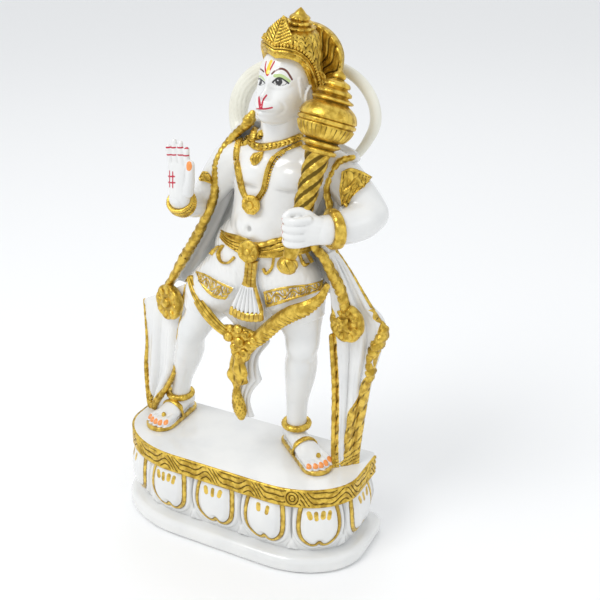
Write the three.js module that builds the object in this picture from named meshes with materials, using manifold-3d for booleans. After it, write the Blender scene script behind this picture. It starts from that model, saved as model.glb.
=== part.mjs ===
// A painted, cast figure with a monkey face, standing on a lotus plinth with a mace at its
// shoulder. Millimetres, +Z up. The origin is the middle of the plinth's underside, the figure
// faces -Y and its left hand is on the +X side.
import * as THREE from "three";
import { mergeVertices } from "three/addons/utils/BufferGeometryUtils.js";
import Module from "manifold-3d";

// Plinth sizes.
const PLINTH_WIDTH = 186;
const PLINTH_DEPTH = 70.6;
const PLINTH_HEIGHT = 68.7;
const FRONT_CORNER_ALONG_WIDTH = 55;
const FRONT_CORNER_ALONG_DEPTH = 38;
const BACK_CORNER_RADIUS = 4;
const SLAB_HEIGHT = 13;
const SLAB_SPREAD = 5.5;
const SLAB_ROUNDING = 4;
const BAND_HEIGHT = 11.7;
const BAND_RELIEF = 1.2;
const BAND_LEAF_LENGTH = 17.5;
const CORE_INSET = 8;
const CARVING_ROOT = 2;
const PETAL_PITCH = 40.5;
const PETAL_SHIFT = -3;
const PETAL_BULGE = 10;
const REAR_PETAL_SHARE = 0.4;

// Figure and tail sizes.
const FIGURE_HEIGHT = 312.5;
const SOLE_THICKNESS = 3.4;
const SHAWL_THICKNESS = 4;
const EDGE_FACTOR = 1.7;
const PLATE_THICKNESS = 6.5;
const ROSETTE_RADIUS = 12;
const BELT_FLOWER_RADIUS = 7.4;
const CHAIN_FLOWER_RADIUS = 7;
const CLUSTER_RADIUS = 12.5;
const MACE_HEAD_RADIUS = 17.3;
const MACE_SHAFT_RADIUS = 6.6;
const TAIL_DIAMETER = 7.2;
const TUFT_DIAMETER = 10.5;
const GLUE_GAP = 0.3;

// The head's turn towards the raised hand, and its lean over the weight-bearing leg.
const HEAD_TURN = THREE.MathUtils.degToRad(-15);
const HEAD_LEAN = THREE.MathUtils.degToRad(8);

const X = new THREE.Vector3(1, 0, 0);
const Y = new THREE.Vector3(0, 1, 0);
const Z = new THREE.Vector3(0, 0, 1);

// The figure's pose, proportions and carving are shares of its height, in per cent.
const SHARE = FIGURE_HEIGHT / 100;
const at = (x, y, z) => new THREE.Vector3(x * SHARE, y * SHARE, z * SHARE);
const STAND = new THREE.Matrix4().makeTranslation(0, 0, PLINTH_HEIGHT);

// Corners of a finished mesh that are closer than this, in mm, are one corner.
const MESH_WELD = 0.01;

const wasm = await Module();
wasm.setup();

// A geometry whose corners closer than the distance, in mm, are one, without collapsed faces.
function welded(geometry, distance) {
  const merged = mergeVertices(geometry, distance);
  const corners = merged.index.array;
  const faces = [];
  for (let i = 0; i < corners.length; i += 3) {
    const [a, b, c] = corners.slice(i, i + 3);
    if (a !== b && b !== c && c !== a) faces.push(a, b, c);
  }
  return merged.setIndex(faces);
}

// A closed geometry as a solid, with its faces turned outwards.
function solid(geometry, matrix = STAND) {
  const bare = geometry.clone().applyMatrix4(matrix);
  bare.deleteAttribute("normal");
  bare.deleteAttribute("uv");
  const { attributes, index } = welded(bare, 1e-4);
  const build = (order) =>
    new wasm.Manifold(
      new wasm.Mesh({
        numProp: 3,
        vertProperties: attributes.position.array,
        triVerts: new Uint32Array(order),
      }),
    );
  const made = build(index.array);
  return made.volume() > 0 ? made : build(Array.from(index.array).reverse());
}

const join = (solids) => solids.reduce((whole, piece) => whole.add(piece));

// The cast is solid, so pockets that forms close in between them are filled.
const withoutPockets = (shape) => join(shape.decompose().filter((body) => body.volume() > 0));

function meshOf(name, shape, material) {
  const data = shape.getMesh();
  const whole = new THREE.BufferGeometry();
  whole.setAttribute("position", new THREE.BufferAttribute(data.vertProperties, 3));
  whole.setIndex(new THREE.BufferAttribute(data.triVerts, 1));
  const geometry = welded(whole, MESH_WELD);
  geometry.computeVertexNormals();
  const mesh = new THREE.Mesh(geometry, material);
  mesh.name = name;
  return mesh;
}

// A smooth line through points given in shares.
const lineThrough = (points) => new THREE.CatmullRomCurve3(points.map(([x, y, z]) => at(x, y, z)));

// A closed tapering form with rounded ends. Each station is [x, y, z, half width, half depth]
// in shares, and the width runs across the line as near as it can to the given axis.
function limb(stations, { sides = 8, steps = 1, capRings = 2, wideAxis = X } = {}) {
  const spans = (stations.length - 1) * steps;
  const line = lineThrough(stations);
  const girth = lineThrough(stations.map(([, , , wide, deep = wide]) => [wide, deep, 0]));
  const rings = spans + 2 * capRings;
  const geometry = new THREE.SphereGeometry(1, sides, rings);
  const vertices = geometry.attributes.position;
  for (let ring = 0; ring <= rings; ring += 1) {
    const fromEnd = Math.min(ring, rings - ring, capRings);
    const tilt = (Math.PI / 2) * (1 - fromEnd / capRings);
    const t = THREE.MathUtils.clamp((rings - ring - capRings) / spans, 0, 1);
    const along = line.getTangent(t);
    const size = girth.getPoint(t);
    const wide = wideAxis.clone().addScaledVector(along, -wideAxis.dot(along)).normalize();
    const deep = wide.clone().cross(along);
    const outwards = ring < rings / 2 ? 1 : -1;
    const reach = outwards * Math.sin(tilt) * Math.min(size.x, size.y);
    const centre = line.getPoint(t).addScaledVector(along, reach);
    for (let side = 0; side <= sides; side += 1) {
      const turn = (side / sides) * 2 * Math.PI;
      const point = centre
        .clone()
        .addScaledVector(wide, -Math.cos(turn) * Math.cos(tilt) * size.x)
        .addScaledVector(deep, Math.sin(turn) * Math.cos(tilt) * size.y);
      vertices.setXYZ(ring * (sides + 1) + side, point.x, point.y, point.z);
    }
  }
  return geometry;
}

// A round cord of even thickness along points in shares.
const cord = (points, radius, options = {}) =>
  limb(
    points.map((point) => [...point, radius]),
    { sides: 5, capRings: 1, ...options },
  );

// An ellipsoid at [x, y, z] with half sizes [a, b, c], in shares.
function bead([x, y, z], [a, b = a, c = a], sides = 8) {
  const geometry = new THREE.SphereGeometry(1, sides, Math.max(3, Math.round(sides / 2)));
  geometry.rotateX(Math.PI / 2);
  geometry.scale(a * SHARE, b * SHARE, c * SHARE);
  const place = at(x, y, z);
  return geometry.translate(place.x, place.y, place.z);
}

// A sheet: surface(u, v) gives its middle, its backward direction and a factor on its thickness.
function sheet(surface, columns, rows, thickness) {
  const geometry = new THREE.BoxGeometry(1, 1, 1, columns, 1, rows);
  const vertices = geometry.attributes.position;
  for (let i = 0; i < vertices.count; i += 1) {
    const { middle, back, thick = 1 } = surface(vertices.getX(i) + 0.5, 0.5 - vertices.getZ(i));
    const point = middle.addScaledVector(back, vertices.getY(i) * thickness * thick);
    vertices.setXYZ(i, point.x, point.y, point.z);
  }
  return geometry;
}

// A round, reeded or twisted form turned on an axis. The profile is [radius, height] pairs in
// mm, and shape(side, level) gives a factor on the radius and a turn in radians.
function turned(profile, base, axis, sides, shape = () => [1, 0]) {
  const outline = profile.map(([radius, height]) => new THREE.Vector2(radius, height));
  const geometry = new THREE.LatheGeometry(outline, sides);
  const vertices = geometry.attributes.position;
  for (let i = 0; i < vertices.count; i += 1) {
    const [factor, turn] = shape(Math.floor(i / profile.length) % sides, i % profile.length);
    const point = new THREE.Vector3().fromBufferAttribute(vertices, i).applyAxisAngle(Y, turn);
    vertices.setXYZ(i, point.x * factor, point.y, point.z * factor);
  }
  geometry.applyQuaternion(new THREE.Quaternion().setFromUnitVectors(Y, axis.clone().normalize()));
  return geometry.translate(base.x, base.y, base.z);
}

// A carved flower: scalloped petals round a boss, facing along the given direction.
function rosette(centre, facing, radius, petals) {
  const profile = [
    [0, -0.5],
    [1, -0.1],
    [0.82, 0.26],
    [0.32, 0.12],
    [0, 0.42],
  ].map(([out, height]) => [out * radius, height * radius]);
  const scallop = (side, level) => [side % 2 && (level === 1 || level === 2) ? 0.84 : 1, 0];
  return turned(profile, centre, facing, 2 * petals, scallop);
}

// A band with raised ridges round an oval form, with half sizes and height in shares.
function ridgedBand([x, y, z], [across, deep], height, ridges, axis, sides) {
  const profile = [[0, -height / 2]];
  for (let level = 0; level <= 2 * ridges; level += 1) {
    profile.push([level % 2 ? 1 : 0.94, height * (level / (2 * ridges) - 0.5)]);
  }
  profile.push([0, height / 2]);
  const oval = (side) => {
    const turn = (side / sides) * 2 * Math.PI;
    return [1 / Math.hypot(Math.sin(turn), (Math.cos(turn) * across) / deep), 0];
  };
  const outline = profile.map(([out, level]) => [out * across * SHARE, level * SHARE]);
  return turned(outline, at(x, y, z), axis, sides, oval);
}

// The plinth's plan: a straight back, short sides and a front with wide rounded corners.
function plinthPlan(grow) {
  const right = PLINTH_WIDTH / 2 + grow;
  const back = PLINTH_DEPTH / 2 + grow;
  const cornerX = FRONT_CORNER_ALONG_WIDTH + grow;
  const cornerY = FRONT_CORNER_ALONG_DEPTH + grow;
  const turn = Math.max(BACK_CORNER_RADIUS + grow, 1);
  const plan = new THREE.Shape();
  plan.moveTo(-right, back - turn);
  plan.lineTo(-right, cornerY - back);
  plan.absellipse(cornerX - right, cornerY - back, cornerX, cornerY, Math.PI, 1.5 * Math.PI);
  plan.lineTo(right - cornerX, -back);
  plan.absellipse(right - cornerX, cornerY - back, cornerX, cornerY, 1.5 * Math.PI, 2 * Math.PI);
  plan.lineTo(right, back - turn);
  plan.absarc(right - turn, back - turn, turn, 0, Math.PI / 2);
  plan.lineTo(turn - right, back);
  plan.absarc(turn - right, back - turn, turn, Math.PI / 2, Math.PI);
  return plan;
}

// The carved face: how far along the plinth's front and sides, from the middle of the front.
const carvedFace = new THREE.Path();
{
  const side = PLINTH_WIDTH / 2;
  const back = PLINTH_DEPTH / 2;
  const cornerX = FRONT_CORNER_ALONG_WIDTH;
  const cornerY = FRONT_CORNER_ALONG_DEPTH;
  carvedFace.moveTo(-side, back - BACK_CORNER_RADIUS);
  carvedFace.lineTo(-side, cornerY - back);
  carvedFace.absellipse(cornerX - side, cornerY - back, cornerX, cornerY, Math.PI, 1.5 * Math.PI);
  carvedFace.lineTo(side - cornerX, -back);
  carvedFace.absellipse(side - cornerX, cornerY - back, cornerX, cornerY, 1.5 * Math.PI, 0);
  carvedFace.lineTo(side, back - BACK_CORNER_RADIUS);
  carvedFace.arcLengthDivisions = 400;
}
const CARVED_LENGTH = carvedFace.getLength();

// A point that stands out from the carved face, in world millimetres.
function onFace(along, out, height) {
  const share = THREE.MathUtils.clamp(0.5 + along / CARVED_LENGTH, 0, 1);
  const foot = carvedFace.getPointAt(share);
  const heading = carvedFace.getTangentAt(share);
  return new THREE.Vector3(foot.x + heading.y * out, foot.y - heading.x * out, height);
}

const UPRIGHT = new THREE.Matrix4();

// A strip of carving along the front and sides. relief(along, height share) says how far the
// carved surface stands out, and the strip's back lies inside the plinth's core.
function carvedStrip(from, to, columns, rows, relief) {
  const geometry = new THREE.BoxGeometry(1, 1, 1, columns, 1, rows);
  const vertices = geometry.attributes.position;
  const inside = -CORE_INSET - CARVING_ROOT;
  for (let i = 0; i < vertices.count; i += 1) {
    const along = vertices.getX(i) * (CARVED_LENGTH - 0.2);
    const share = vertices.getZ(i) + 0.5;
    const out = vertices.getY(i) < 0 ? relief(along, share) : inside;
    const point = onFace(along, out, THREE.MathUtils.lerp(from, to, share));
    vertices.setXYZ(i, point.x, point.y, point.z);
  }
  return solid(geometry, UPRIGHT);
}

// Hanging lotus petals: each bulges, narrows to a notched lower end and leaves a groove beside
// it, where the tip of a rear petal shows low down.
function petalRelief(along, share) {
  const places = (along - PETAL_SHIFT) / PETAL_PITCH;
  const side = 2 * (places - Math.round(places));
  const across = Math.abs(side);
  const edge = 0.9 - 0.22 * (1 - share) ** 3;
  const notch = 0.16 * Math.exp(-((side / 0.3) ** 2));
  const inside = across < edge && share > 0.1 + notch;
  const bulge = Math.sin(Math.PI * (0.12 + 0.8 * (1 - share))) * (1 - 0.5 * (across / edge) ** 3);
  if (inside) return -CORE_INSET + PETAL_BULGE * bulge;
  const tip = Math.max(0, (across - 0.7) / 0.3) * Math.max(0, 1 - share / REAR_PETAL_SHARE);
  return -CORE_INSET + 0.4 * PETAL_BULGE * tip;
}

// Curled leaves on the gold band: strokes that rise, hook over and run into each other.
function leafRelief(along, share) {
  const run = along / BAND_LEAF_LENGTH + 0.35 * Math.sin(share * Math.PI);
  return BAND_RELIEF * Math.sin(share * Math.PI) * Math.cos(2 * Math.PI * run);
}

function layer(grow, from, to, rounding = 0) {
  const geometry = new THREE.ExtrudeGeometry(plinthPlan(grow - rounding), {
    depth: to - from - 2 * rounding,
    curveSegments: 5,
    bevelEnabled: rounding > 0,
    bevelSize: rounding,
    bevelThickness: rounding,
    bevelSegments: 1,
  });
  return solid(geometry.translate(0, 0, from + rounding), UPRIGHT);
}

function buildPlinth() {
  const bandFoot = PLINTH_HEIGHT - BAND_HEIGHT;
  const petalColumns = 6 * Math.round(CARVED_LENGTH / PETAL_PITCH);
  const leafColumns = 4 * Math.round(CARVED_LENGTH / BAND_LEAF_LENGTH);
  return join([
    layer(SLAB_SPREAD, 0, SLAB_HEIGHT, SLAB_ROUNDING),
    layer(-CORE_INSET, SLAB_HEIGHT - SLAB_ROUNDING, bandFoot + 1),
    layer(0, bandFoot, PLINTH_HEIGHT),
    carvedStrip(SLAB_HEIGHT - 1, bandFoot + 1, petalColumns, 4, petalRelief),
    carvedStrip(bandFoot + 0.6, PLINTH_HEIGHT - 0.6, leafColumns, 2, leafRelief),
  ]);
}

// Local frames carry a part's own sideways, backward and upward directions.
const headFrame = new THREE.Matrix4()
  .makeTranslation(at(12.8, 0.6, 85.4))
  .multiply(new THREE.Matrix4().makeRotationZ(HEAD_TURN))
  .multiply(new THREE.Matrix4().makeRotationY(HEAD_LEAN))
  .premultiply(STAND);

function torso() {
  const trunk = limb(
    [
      [4.6, 1.3, 42.5, 8.4, 6.4],
      [5.6, 1.3, 47.5, 11.0, 7.2],
      [7.6, 1.1, 53.0, 9.7, 6.6],
      [8.3, 0.5, 58.0, 8.8, 6.4],
      [9.6, 1.2, 64.0, 9.9, 6.3],
      [10.8, 1.4, 68.8, 10.8, 6.1],
      [11.3, 1.5, 72.3, 8.4, 4.4],
    ],
    { sides: 10, capRings: 1 },
  );
  const neck = limb(
    [
      [11.1, 1.5, 71.5, 4.8, 4.2],
      [11.6, 1.0, 76.0, 3.9, 3.9],
      [12.2, 0.6, 81.0, 4.2, 4.4],
    ],
    { capRings: 1 },
  );
  const chest = [6.3, 14.8].map((side) => bead([side, -2.2, 68.4], [5.0, 3.2, 3.4]));
  return [trunk, neck, ...chest];
}

// Sandalled feet: where each heel and toe ball stands, in shares.
const FEET = {
  right: { heel: [-20.3, 7.7], toe: [-21.6, -1.4] },
  left: { heel: [9.9, 6.2], toe: [19.8, -0.5] },
};
const HEEL_HALF_WIDTH = 2.4;
const TOE_HALF_WIDTH = 3.7;

// A sandal with its foot: a sole, an arched instep, five toes and a strap.
function foot({ heel, toe }) {
  const length = Math.hypot(toe[0] - heel[0], toe[1] - heel[1]);
  const turn = Math.atan2(toe[1] - heel[1], toe[0] - heel[0]);
  const lean = Math.asin((TOE_HALF_WIDTH - HEEL_HALF_WIDTH) / length);
  const outline = new THREE.Shape();
  const near = Math.PI / 2 + lean;
  outline.absarc(0, 0, HEEL_HALF_WIDTH * SHARE, near, -near, false);
  outline.absarc(length * SHARE, 0, TOE_HALF_WIDTH * SHARE, -near, near, false);
  const sole = new THREE.ExtrudeGeometry(outline, {
    depth: SOLE_THICKNESS,
    curveSegments: 3,
    bevelEnabled: false,
  });
  const top = SOLE_THICKNESS / SHARE;
  const skin = limb(
    [
      [-0.2, 0, top + 1.6, 1.9, 2.0],
      [length * 0.54, 0, top + 1.4, 3.0, 2.3],
      [length * 0.66, 0, top + 1.0, 3.1, 2.0],
      [length * 0.7, 0, top + 0.9, 2.6, 1.3],
      [length + 0.8, 0, top + 0.4, 2.7, 0.8],
    ],
    { wideAxis: Y, sides: 6, capRings: 1 },
  );
  const toeStations = [];
  for (let step = 0; step <= 8; step += 1) {
    const side = (step - 4) * 0.65;
    const ridge = (step + 1) % 2;
    const reach = length + 2.2 - 0.13 * side ** 2;
    toeStations.push([reach, side, top + 0.4, 0.8 + 0.5 * ridge, 0.35 + 0.35 * ridge]);
  }
  const toes = limb(toeStations, { wideAxis: X, sides: 4, capRings: 1 });
  const place = new THREE.Matrix4()
    .makeTranslation(at(heel[0], heel[1], 0))
    .multiply(new THREE.Matrix4().makeRotationZ(turn))
    .premultiply(STAND);
  return join([sole, skin, toes].map((piece) => solid(piece, place)));
}

// Each leg with the short cloth round its thigh, the raised hems and the anklet.
function legs() {
  const right = limb(
    [
      [2.4, 1.3, 45.6, 8.4, 7.3],
      [-2.6, 0.6, 41.2, 7.0, 7.0],
      [-5.9, 0.1, 38.2, 6.1, 6.4],
      [-6.6, 0.0, 37.4, 6.9, 7.1],
      [-7.2, -0.1, 36.5, 5.7, 6.0],
      [-8.2, -0.6, 33.4, 4.5, 4.9],
      [-10.8, -1.0, 29.0, 3.4, 3.6],
      [-13.4, 1.0, 22.9, 3.3, 3.5],
      [-16.0, 3.1, 18.0, 3.3, 3.4],
      [-19.3, 5.2, 10.4, 2.5, 2.6],
      [-20.7, 5.9, 6.2, 2.4, 2.4],
      [-20.8, 6.0, 5.2, 3.3, 3.3],
      [-20.7, 6.1, 4.0, 2.4, 2.4],
    ],
    { capRings: 1 },
  );
  const left = limb(
    [
      [8.8, 1.3, 46.4, 8.2, 7.5],
      [12.4, 0.9, 43.6, 7.1, 7.2],
      [13.0, 0.8, 42.9, 7.7, 7.8],
      [13.5, 0.7, 42.0, 7.0, 7.1],
      [14.5, 0.4, 39.4, 6.6, 6.8],
      [14.8, 0.3, 38.6, 7.3, 7.4],
      [15.1, 0.2, 37.6, 5.6, 6.0],
      [15.8, 0.0, 35.2, 4.4, 4.8],
      [16.4, -0.4, 32.1, 3.5, 3.7],
      [14.9, 1.3, 26.1, 3.5, 3.7],
      [14.1, 2.6, 21.6, 3.5, 3.6],
      [12.4, 4.4, 13.4, 2.6, 2.7],
      [11.8, 5.3, 7.2, 2.4, 2.4],
      [11.7, 5.4, 6.1, 3.4, 3.4],
      [11.6, 5.5, 4.9, 2.4, 2.5],
    ],
    { capRings: 1 },
  );
  return [right, left];
}

// The raised hand, palm forwards: four fingers side by side above the palm.
function openHand() {
  const rows = [
    { y: -10.5, z: 74.3, half: 2.3, thick: 0.25 },
    { y: -10.4, z: 72.6, half: 2.5, thick: 0.55 },
    { y: -9.9, z: 68.4, half: 2.6, thick: 0.6 },
    { y: -9.5, z: 65.6, half: 2.8, thick: 1.0 },
    { y: -8.8, z: 61.4, half: 2.2, thick: 1.2 },
  ];
  const columns = 8;
  return sheet(
    (u, v) => {
      const row = Math.round(v * (rows.length - 1));
      const { y, z, half, thick } = rows[row];
      const groove = Math.round(u * columns) % 2 === 0;
      const edge = Math.abs(2 * u - 1);
      const finger = row < 3;
      const drop = finger && row === 0 ? 0.9 * edge ** 2 + (groove ? 1.1 : 0) : 0;
      const shape = (finger && groove ? 0.55 : 1) * (1 - 0.45 * edge ** 4);
      const middle = at(-7.0 - 0.6 * v + (2 * u - 1) * half, y, z - drop);
      return { middle, back: Y.clone(), thick: thick * shape };
    },
    columns,
    rows.length - 1,
    2.6 * SHARE,
  );
}

function arms() {
  const raisedUpper = limb(
    [
      [3.5, 1.5, 69.8, 4.0],
      [-2.0, 1.4, 67.2, 4.2],
      [-3.7, 1.2, 64.9, 3.9],
      [-4.3, 1.1, 64.1, 4.4],
      [-4.9, 1.1, 63.2, 3.8],
      [-8.2, 0.5, 58.6, 3.1],
    ],
    { wideAxis: Y, capRings: 1 },
  );
  const raisedFore = limb(
    [
      [-8.2, 0.6, 58.4, 3.1],
      [-8.2, -3.8, 59.4, 2.9],
      [-8.0, -7.0, 60.4, 2.5],
      [-7.9, -7.8, 60.9, 3.3],
      [-7.8, -8.6, 61.7, 2.2],
    ],
    { capRings: 1 },
  );
  const thumb = cord(
    [
      [-5.6, -9.4, 64.2],
      [-4.5, -10.2, 67.6],
      [-3.9, -10.5, 70.2],
    ],
    0.85,
  );
  const bentUpper = limb(
    [
      [18.5, 1.6, 70.2, 4.1],
      [23.2, 1.7, 68.0, 4.1],
      [24.8, 1.7, 67.0, 4.1],
      [25.5, 1.7, 66.4, 4.6],
      [26.3, 1.8, 65.7, 4.0],
      [30.2, 1.6, 61.8, 3.6],
    ],
    { wideAxis: Y, capRings: 1 },
  );
  const bentFore = limb(
    [
      [30.4, 1.4, 61.5, 3.6],
      [28.6, -2.6, 60.7, 3.6],
      [26.8, -6.0, 60.5, 3.4],
      [25.8, -7.2, 60.5, 4.2],
      [24.8, -8.4, 60.6, 3.2],
    ],
    { wideAxis: Z, capRings: 1 },
  );
  const fistStations = [];
  for (let step = 0; step <= 8; step += 1) {
    const ridge = step % 2 === 1;
    const ends = step === 0 || step === 8 ? 0.5 : 1;
    const across = (ridge ? 4.3 : 3.95) * ends;
    const deep = (ridge ? 3.6 : 3.1) * ends;
    fistStations.push([21.0, -10.8, 57.0 + step * 0.98, across, deep]);
  }
  const fist = limb(fistStations, { capRings: 1 });
  return [raisedUpper, raisedFore, openHand(), thumb, bentUpper, bentFore, fist];
}

// The hair line of the crown's band: high over the brow and low behind the ears.
function bandPoint(turn, out, up) {
  const drop = 5.8 * (Math.abs(turn) / (Math.PI / 2)) ** 3;
  return [(5.4 + out) * Math.sin(turn), 0.5 - (5.9 + out) * Math.cos(turn), 5.2 - drop + up];
}

// The face: a skull and jaw with a brow, hollows for the eyes, a nose ridge and a muzzle.
function faceForm() {
  const geometry = new THREE.SphereGeometry(1, 16, 12);
  geometry.rotateX(Math.PI / 2);
  const vertices = geometry.attributes.position;
  const swell = (distance, reach) => Math.exp(-((distance / reach) ** 2));
  for (let i = 0; i < vertices.count; i += 1) {
    const level = vertices.getZ(i);
    const low = Math.max(0, -level);
    const round = Math.max(1e-6, Math.hypot(vertices.getX(i), vertices.getY(i)));
    const sideways = vertices.getX(i) / round;
    const backwards = vertices.getY(i) / round;
    const full = Math.sqrt(1 - Math.abs(level) ** (level < 0 ? 3.2 : 2));
    const x = sideways * full * (5.3 - 0.4 * low);
    const z = -0.2 + 7.4 * level;
    const ahead = THREE.MathUtils.smoothstep(-backwards, 0, 0.6);
    const brow = 0.6 * swell(z - 2.1, 0.9) * swell(x, 4.0);
    const hollow = 0.8 * swell(z - 0.5, 1.0) * swell(Math.abs(x) - 2.4, 1.2);
    const nose = 1.5 * swell(x, 0.9) * swell(z, 1.8);
    const muzzle = 3.3 * swell(x, 3.0) * swell(z + 3.1, 2.0);
    const chin = 1.9 * swell(x, 2.3) * swell(z + 5.8, 1.3);
    const y = 0.3 + 5.7 * backwards * full - ahead * full * (brow - hollow + nose + muzzle + chin);
    vertices.setXYZ(i, x * SHARE, y * SHARE, z * SHARE);
  }
  return geometry;
}

// The crown's front band, whose upper edge is a row of upright leaves that rise to the middle.
function crownLeaves() {
  const leaves = 7;
  const columns = 2 * leaves;
  const reach = THREE.MathUtils.degToRad(100);
  return sheet(
    (u, v) => {
      const turn = (2 * u - 1) * reach;
      const row = Math.round(v * 3);
      const tip = Math.round(u * columns) % 2 === 1;
      const height = 3.4 + 4.8 * Math.exp(-((turn / 0.5) ** 2));
      const top = tip ? height : 0.62 * height;
      const rise = [top, 0.6 * top + 0.4, 1.2, -0.5][row];
      const inwards = 0.34 * Math.max(0, rise - 1.2);
      const [x, y, z] = bandPoint(turn, 0.3 - inwards, rise);
      const back = new THREE.Vector3(-Math.sin(turn), Math.cos(turn), 0);
      return { middle: at(x, y, z), back, thick: [0.3, 0.9, 1.2, 1.2][row] };
    },
    columns,
    3,
    1.2 * SHARE,
  );
}

function head() {
  const domeProfile = [
    [0, -2.2],
    [5.9, -2.0],
    [6.3, 0.6],
    [5.7, 3.2],
    [3.6, 6.2],
    [2.0, 7.2],
    [2.2, 7.8],
    [1.5, 8.2],
    [1.9, 8.9],
    [0.7, 10.4],
    [0, 11.0],
  ].map(([radius, height]) => [radius * SHARE, height * SHARE]);
  const flutes = (side, level) => [level > 1 && level < 5 && side % 2 ? 0.93 : 1, 0];
  const dome = turned(domeProfile, at(0, 0.9, 3.6), new THREE.Vector3(0, 0.06, 1), 12, flutes);
  const ears = [-5.3, 5.3].map((side) => bead([side, 0.4, -1.0], [1.0, 1.6, 2.1], 6));
  return [faceForm(), crownLeaves(), dome, ...ears].map((piece) => solid(piece, headFrame));
}

// The upright plate behind the crown: round-topped, with wavy ribs on its face.
function crownPlate() {
  const half = 7;
  const foot = -4.2;
  const crest = 11.1;
  const board = sheet(
    (u, v) => {
      const side = 2 * u - 1;
      const top = foot + (crest - foot) * (0.62 + 0.38 * Math.sqrt(1 - side ** 2));
      const height = THREE.MathUtils.lerp(top, foot, v);
      const wave = 0.35 * Math.sin(v * 2 * Math.PI) * (1 - side ** 2);
      const rib = 0.3 * Math.cos(u * 8 * Math.PI);
      return { middle: at(side * half + wave, 6.6 + rib, height), back: Y.clone() };
    },
    8,
    3,
    PLATE_THICKNESS,
  );
  return solid(board, headFrame);
}

// The mace, from its pommel under the fist to the finial beside the crown.
const MACE_POMMEL = at(19.3, -12.8, 54.2);
const MACE_TIP = at(24.1, -0.3, 89.4);

function mace() {
  const axis = MACE_TIP.clone().sub(MACE_POMMEL);
  const length = axis.length();
  const shaft = MACE_SHAFT_RADIUS;
  const ball = MACE_HEAD_RADIUS;
  const profile = [
    [0, -0.06],
    [shaft * 1.1, -0.05],
    [shaft * 1.1, 0.02],
    [shaft * 0.7, 0.07],
    [shaft * 0.85, 0.28],
    [shaft * 0.98, 0.43],
    [shaft * 1.12, 0.58],
    [ball * 0.6, 0.6],
    [ball * 0.54, 0.62],
    [ball * 0.72, 0.645],
    [ball * 0.96, 0.71],
    [ball, 0.76],
    [ball * 0.9, 0.81],
    [ball * 0.52, 0.855],
    [ball * 0.6, 0.88],
    [ball * 0.42, 0.9],
    [ball * 0.5, 0.92],
    [0, 1.0],
  ].map(([radius, share]) => [radius, share * length]);
  const firstTwist = 4;
  const lastTwist = 6;
  const widest = 10;
  const carve = (side, level) => {
    if (level >= firstTwist && level <= lastTwist) {
      return [side % 2 ? 0.8 : 1.1, (level - firstTwist) * 0.6];
    }
    return [side % 2 && level === widest ? 0.93 : 1, 0];
  };
  return turned(profile, MACE_POMMEL, axis, 12, carve);
}

// The front edges of the shawl, from behind the neck down to the rosettes.
const RIGHT_BORDER = [
  [4.0, 1.2, 76.0],
  [-1.9, 0.6, 72.3],
  [-3.4, -1.4, 68.4],
  [-3.7, -2.0, 63.6],
  [-4.3, -1.6, 59.0],
  [-8.7, -0.2, 51.0],
  [-13.6, 0.9, 45.4],
  [-19.6, 2.0, 35.0],
];
const LEFT_BORDER = [
  [19.2, 1.2, 76.2],
  [24.0, 0.6, 72.2],
  [22.6, -1.6, 66.0],
  [22.8, -1.6, 61.0],
  [21.2, -0.4, 52.0],
  [22.4, 1.4, 46.6],
  [23.6, 2.4, 41.4],
  [24.8, 3.0, 38.5],
];

// The shawl hangs behind the body from one front edge round to the other.
function shawl() {
  const right = lineThrough(RIGHT_BORDER);
  const left = lineThrough(LEFT_BORDER);
  const cape = sheet(
    (u, v) => {
      const from = right.getPoint(v);
      const to = left.getPoint(v);
      const round = Math.PI * u;
      const depth = THREE.MathUtils.lerp(4.6, 7.4, Math.min(1, v * 2.2)) * SHARE;
      const fold = 0.35 * SHARE * Math.cos(round * 14) * v;
      const out = new THREE.Vector3(-Math.cos(round), Math.sin(round) ** 0.6, 0);
      const middle = from.clone().lerp(to, (1 - Math.cos(round)) / 2);
      middle.y += depth * Math.sin(round) ** 0.6 + fold;
      const edge = u === 0 || u === 1;
      return { middle, back: out.normalize(), thick: edge ? EDGE_FACTOR : 1 };
    },
    8,
    5,
    SHAWL_THICKNESS,
  );
  return cape;
}

// A loose end of the shawl below its rosette: two thick edges with upright folds between them.
function shawlEnd(inner, outer, folds, facing) {
  const innerLine = lineThrough(inner);
  const outerLine = lineThrough(outer);
  const back = facing.clone().negate().normalize();
  return sheet(
    (u, v) => {
      const middle = innerLine.getPoint(v).lerp(outerLine.getPoint(v), u);
      const fold = 0.45 * SHARE * Math.cos(2 * Math.PI * folds * u) * Math.sin(Math.PI * v);
      const edge = u === 0 || u === 1;
      return { middle: middle.addScaledVector(back, fold), back, thick: edge ? EDGE_FACTOR : 1 };
    },
    3 * folds,
    4,
    SHAWL_THICKNESS,
  );
}

const RIGHT_ROSETTE = at(-20.0, 1.6, 31.4);
const LEFT_ROSETTE = at(24.9, 1.8, 35.6);

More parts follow.
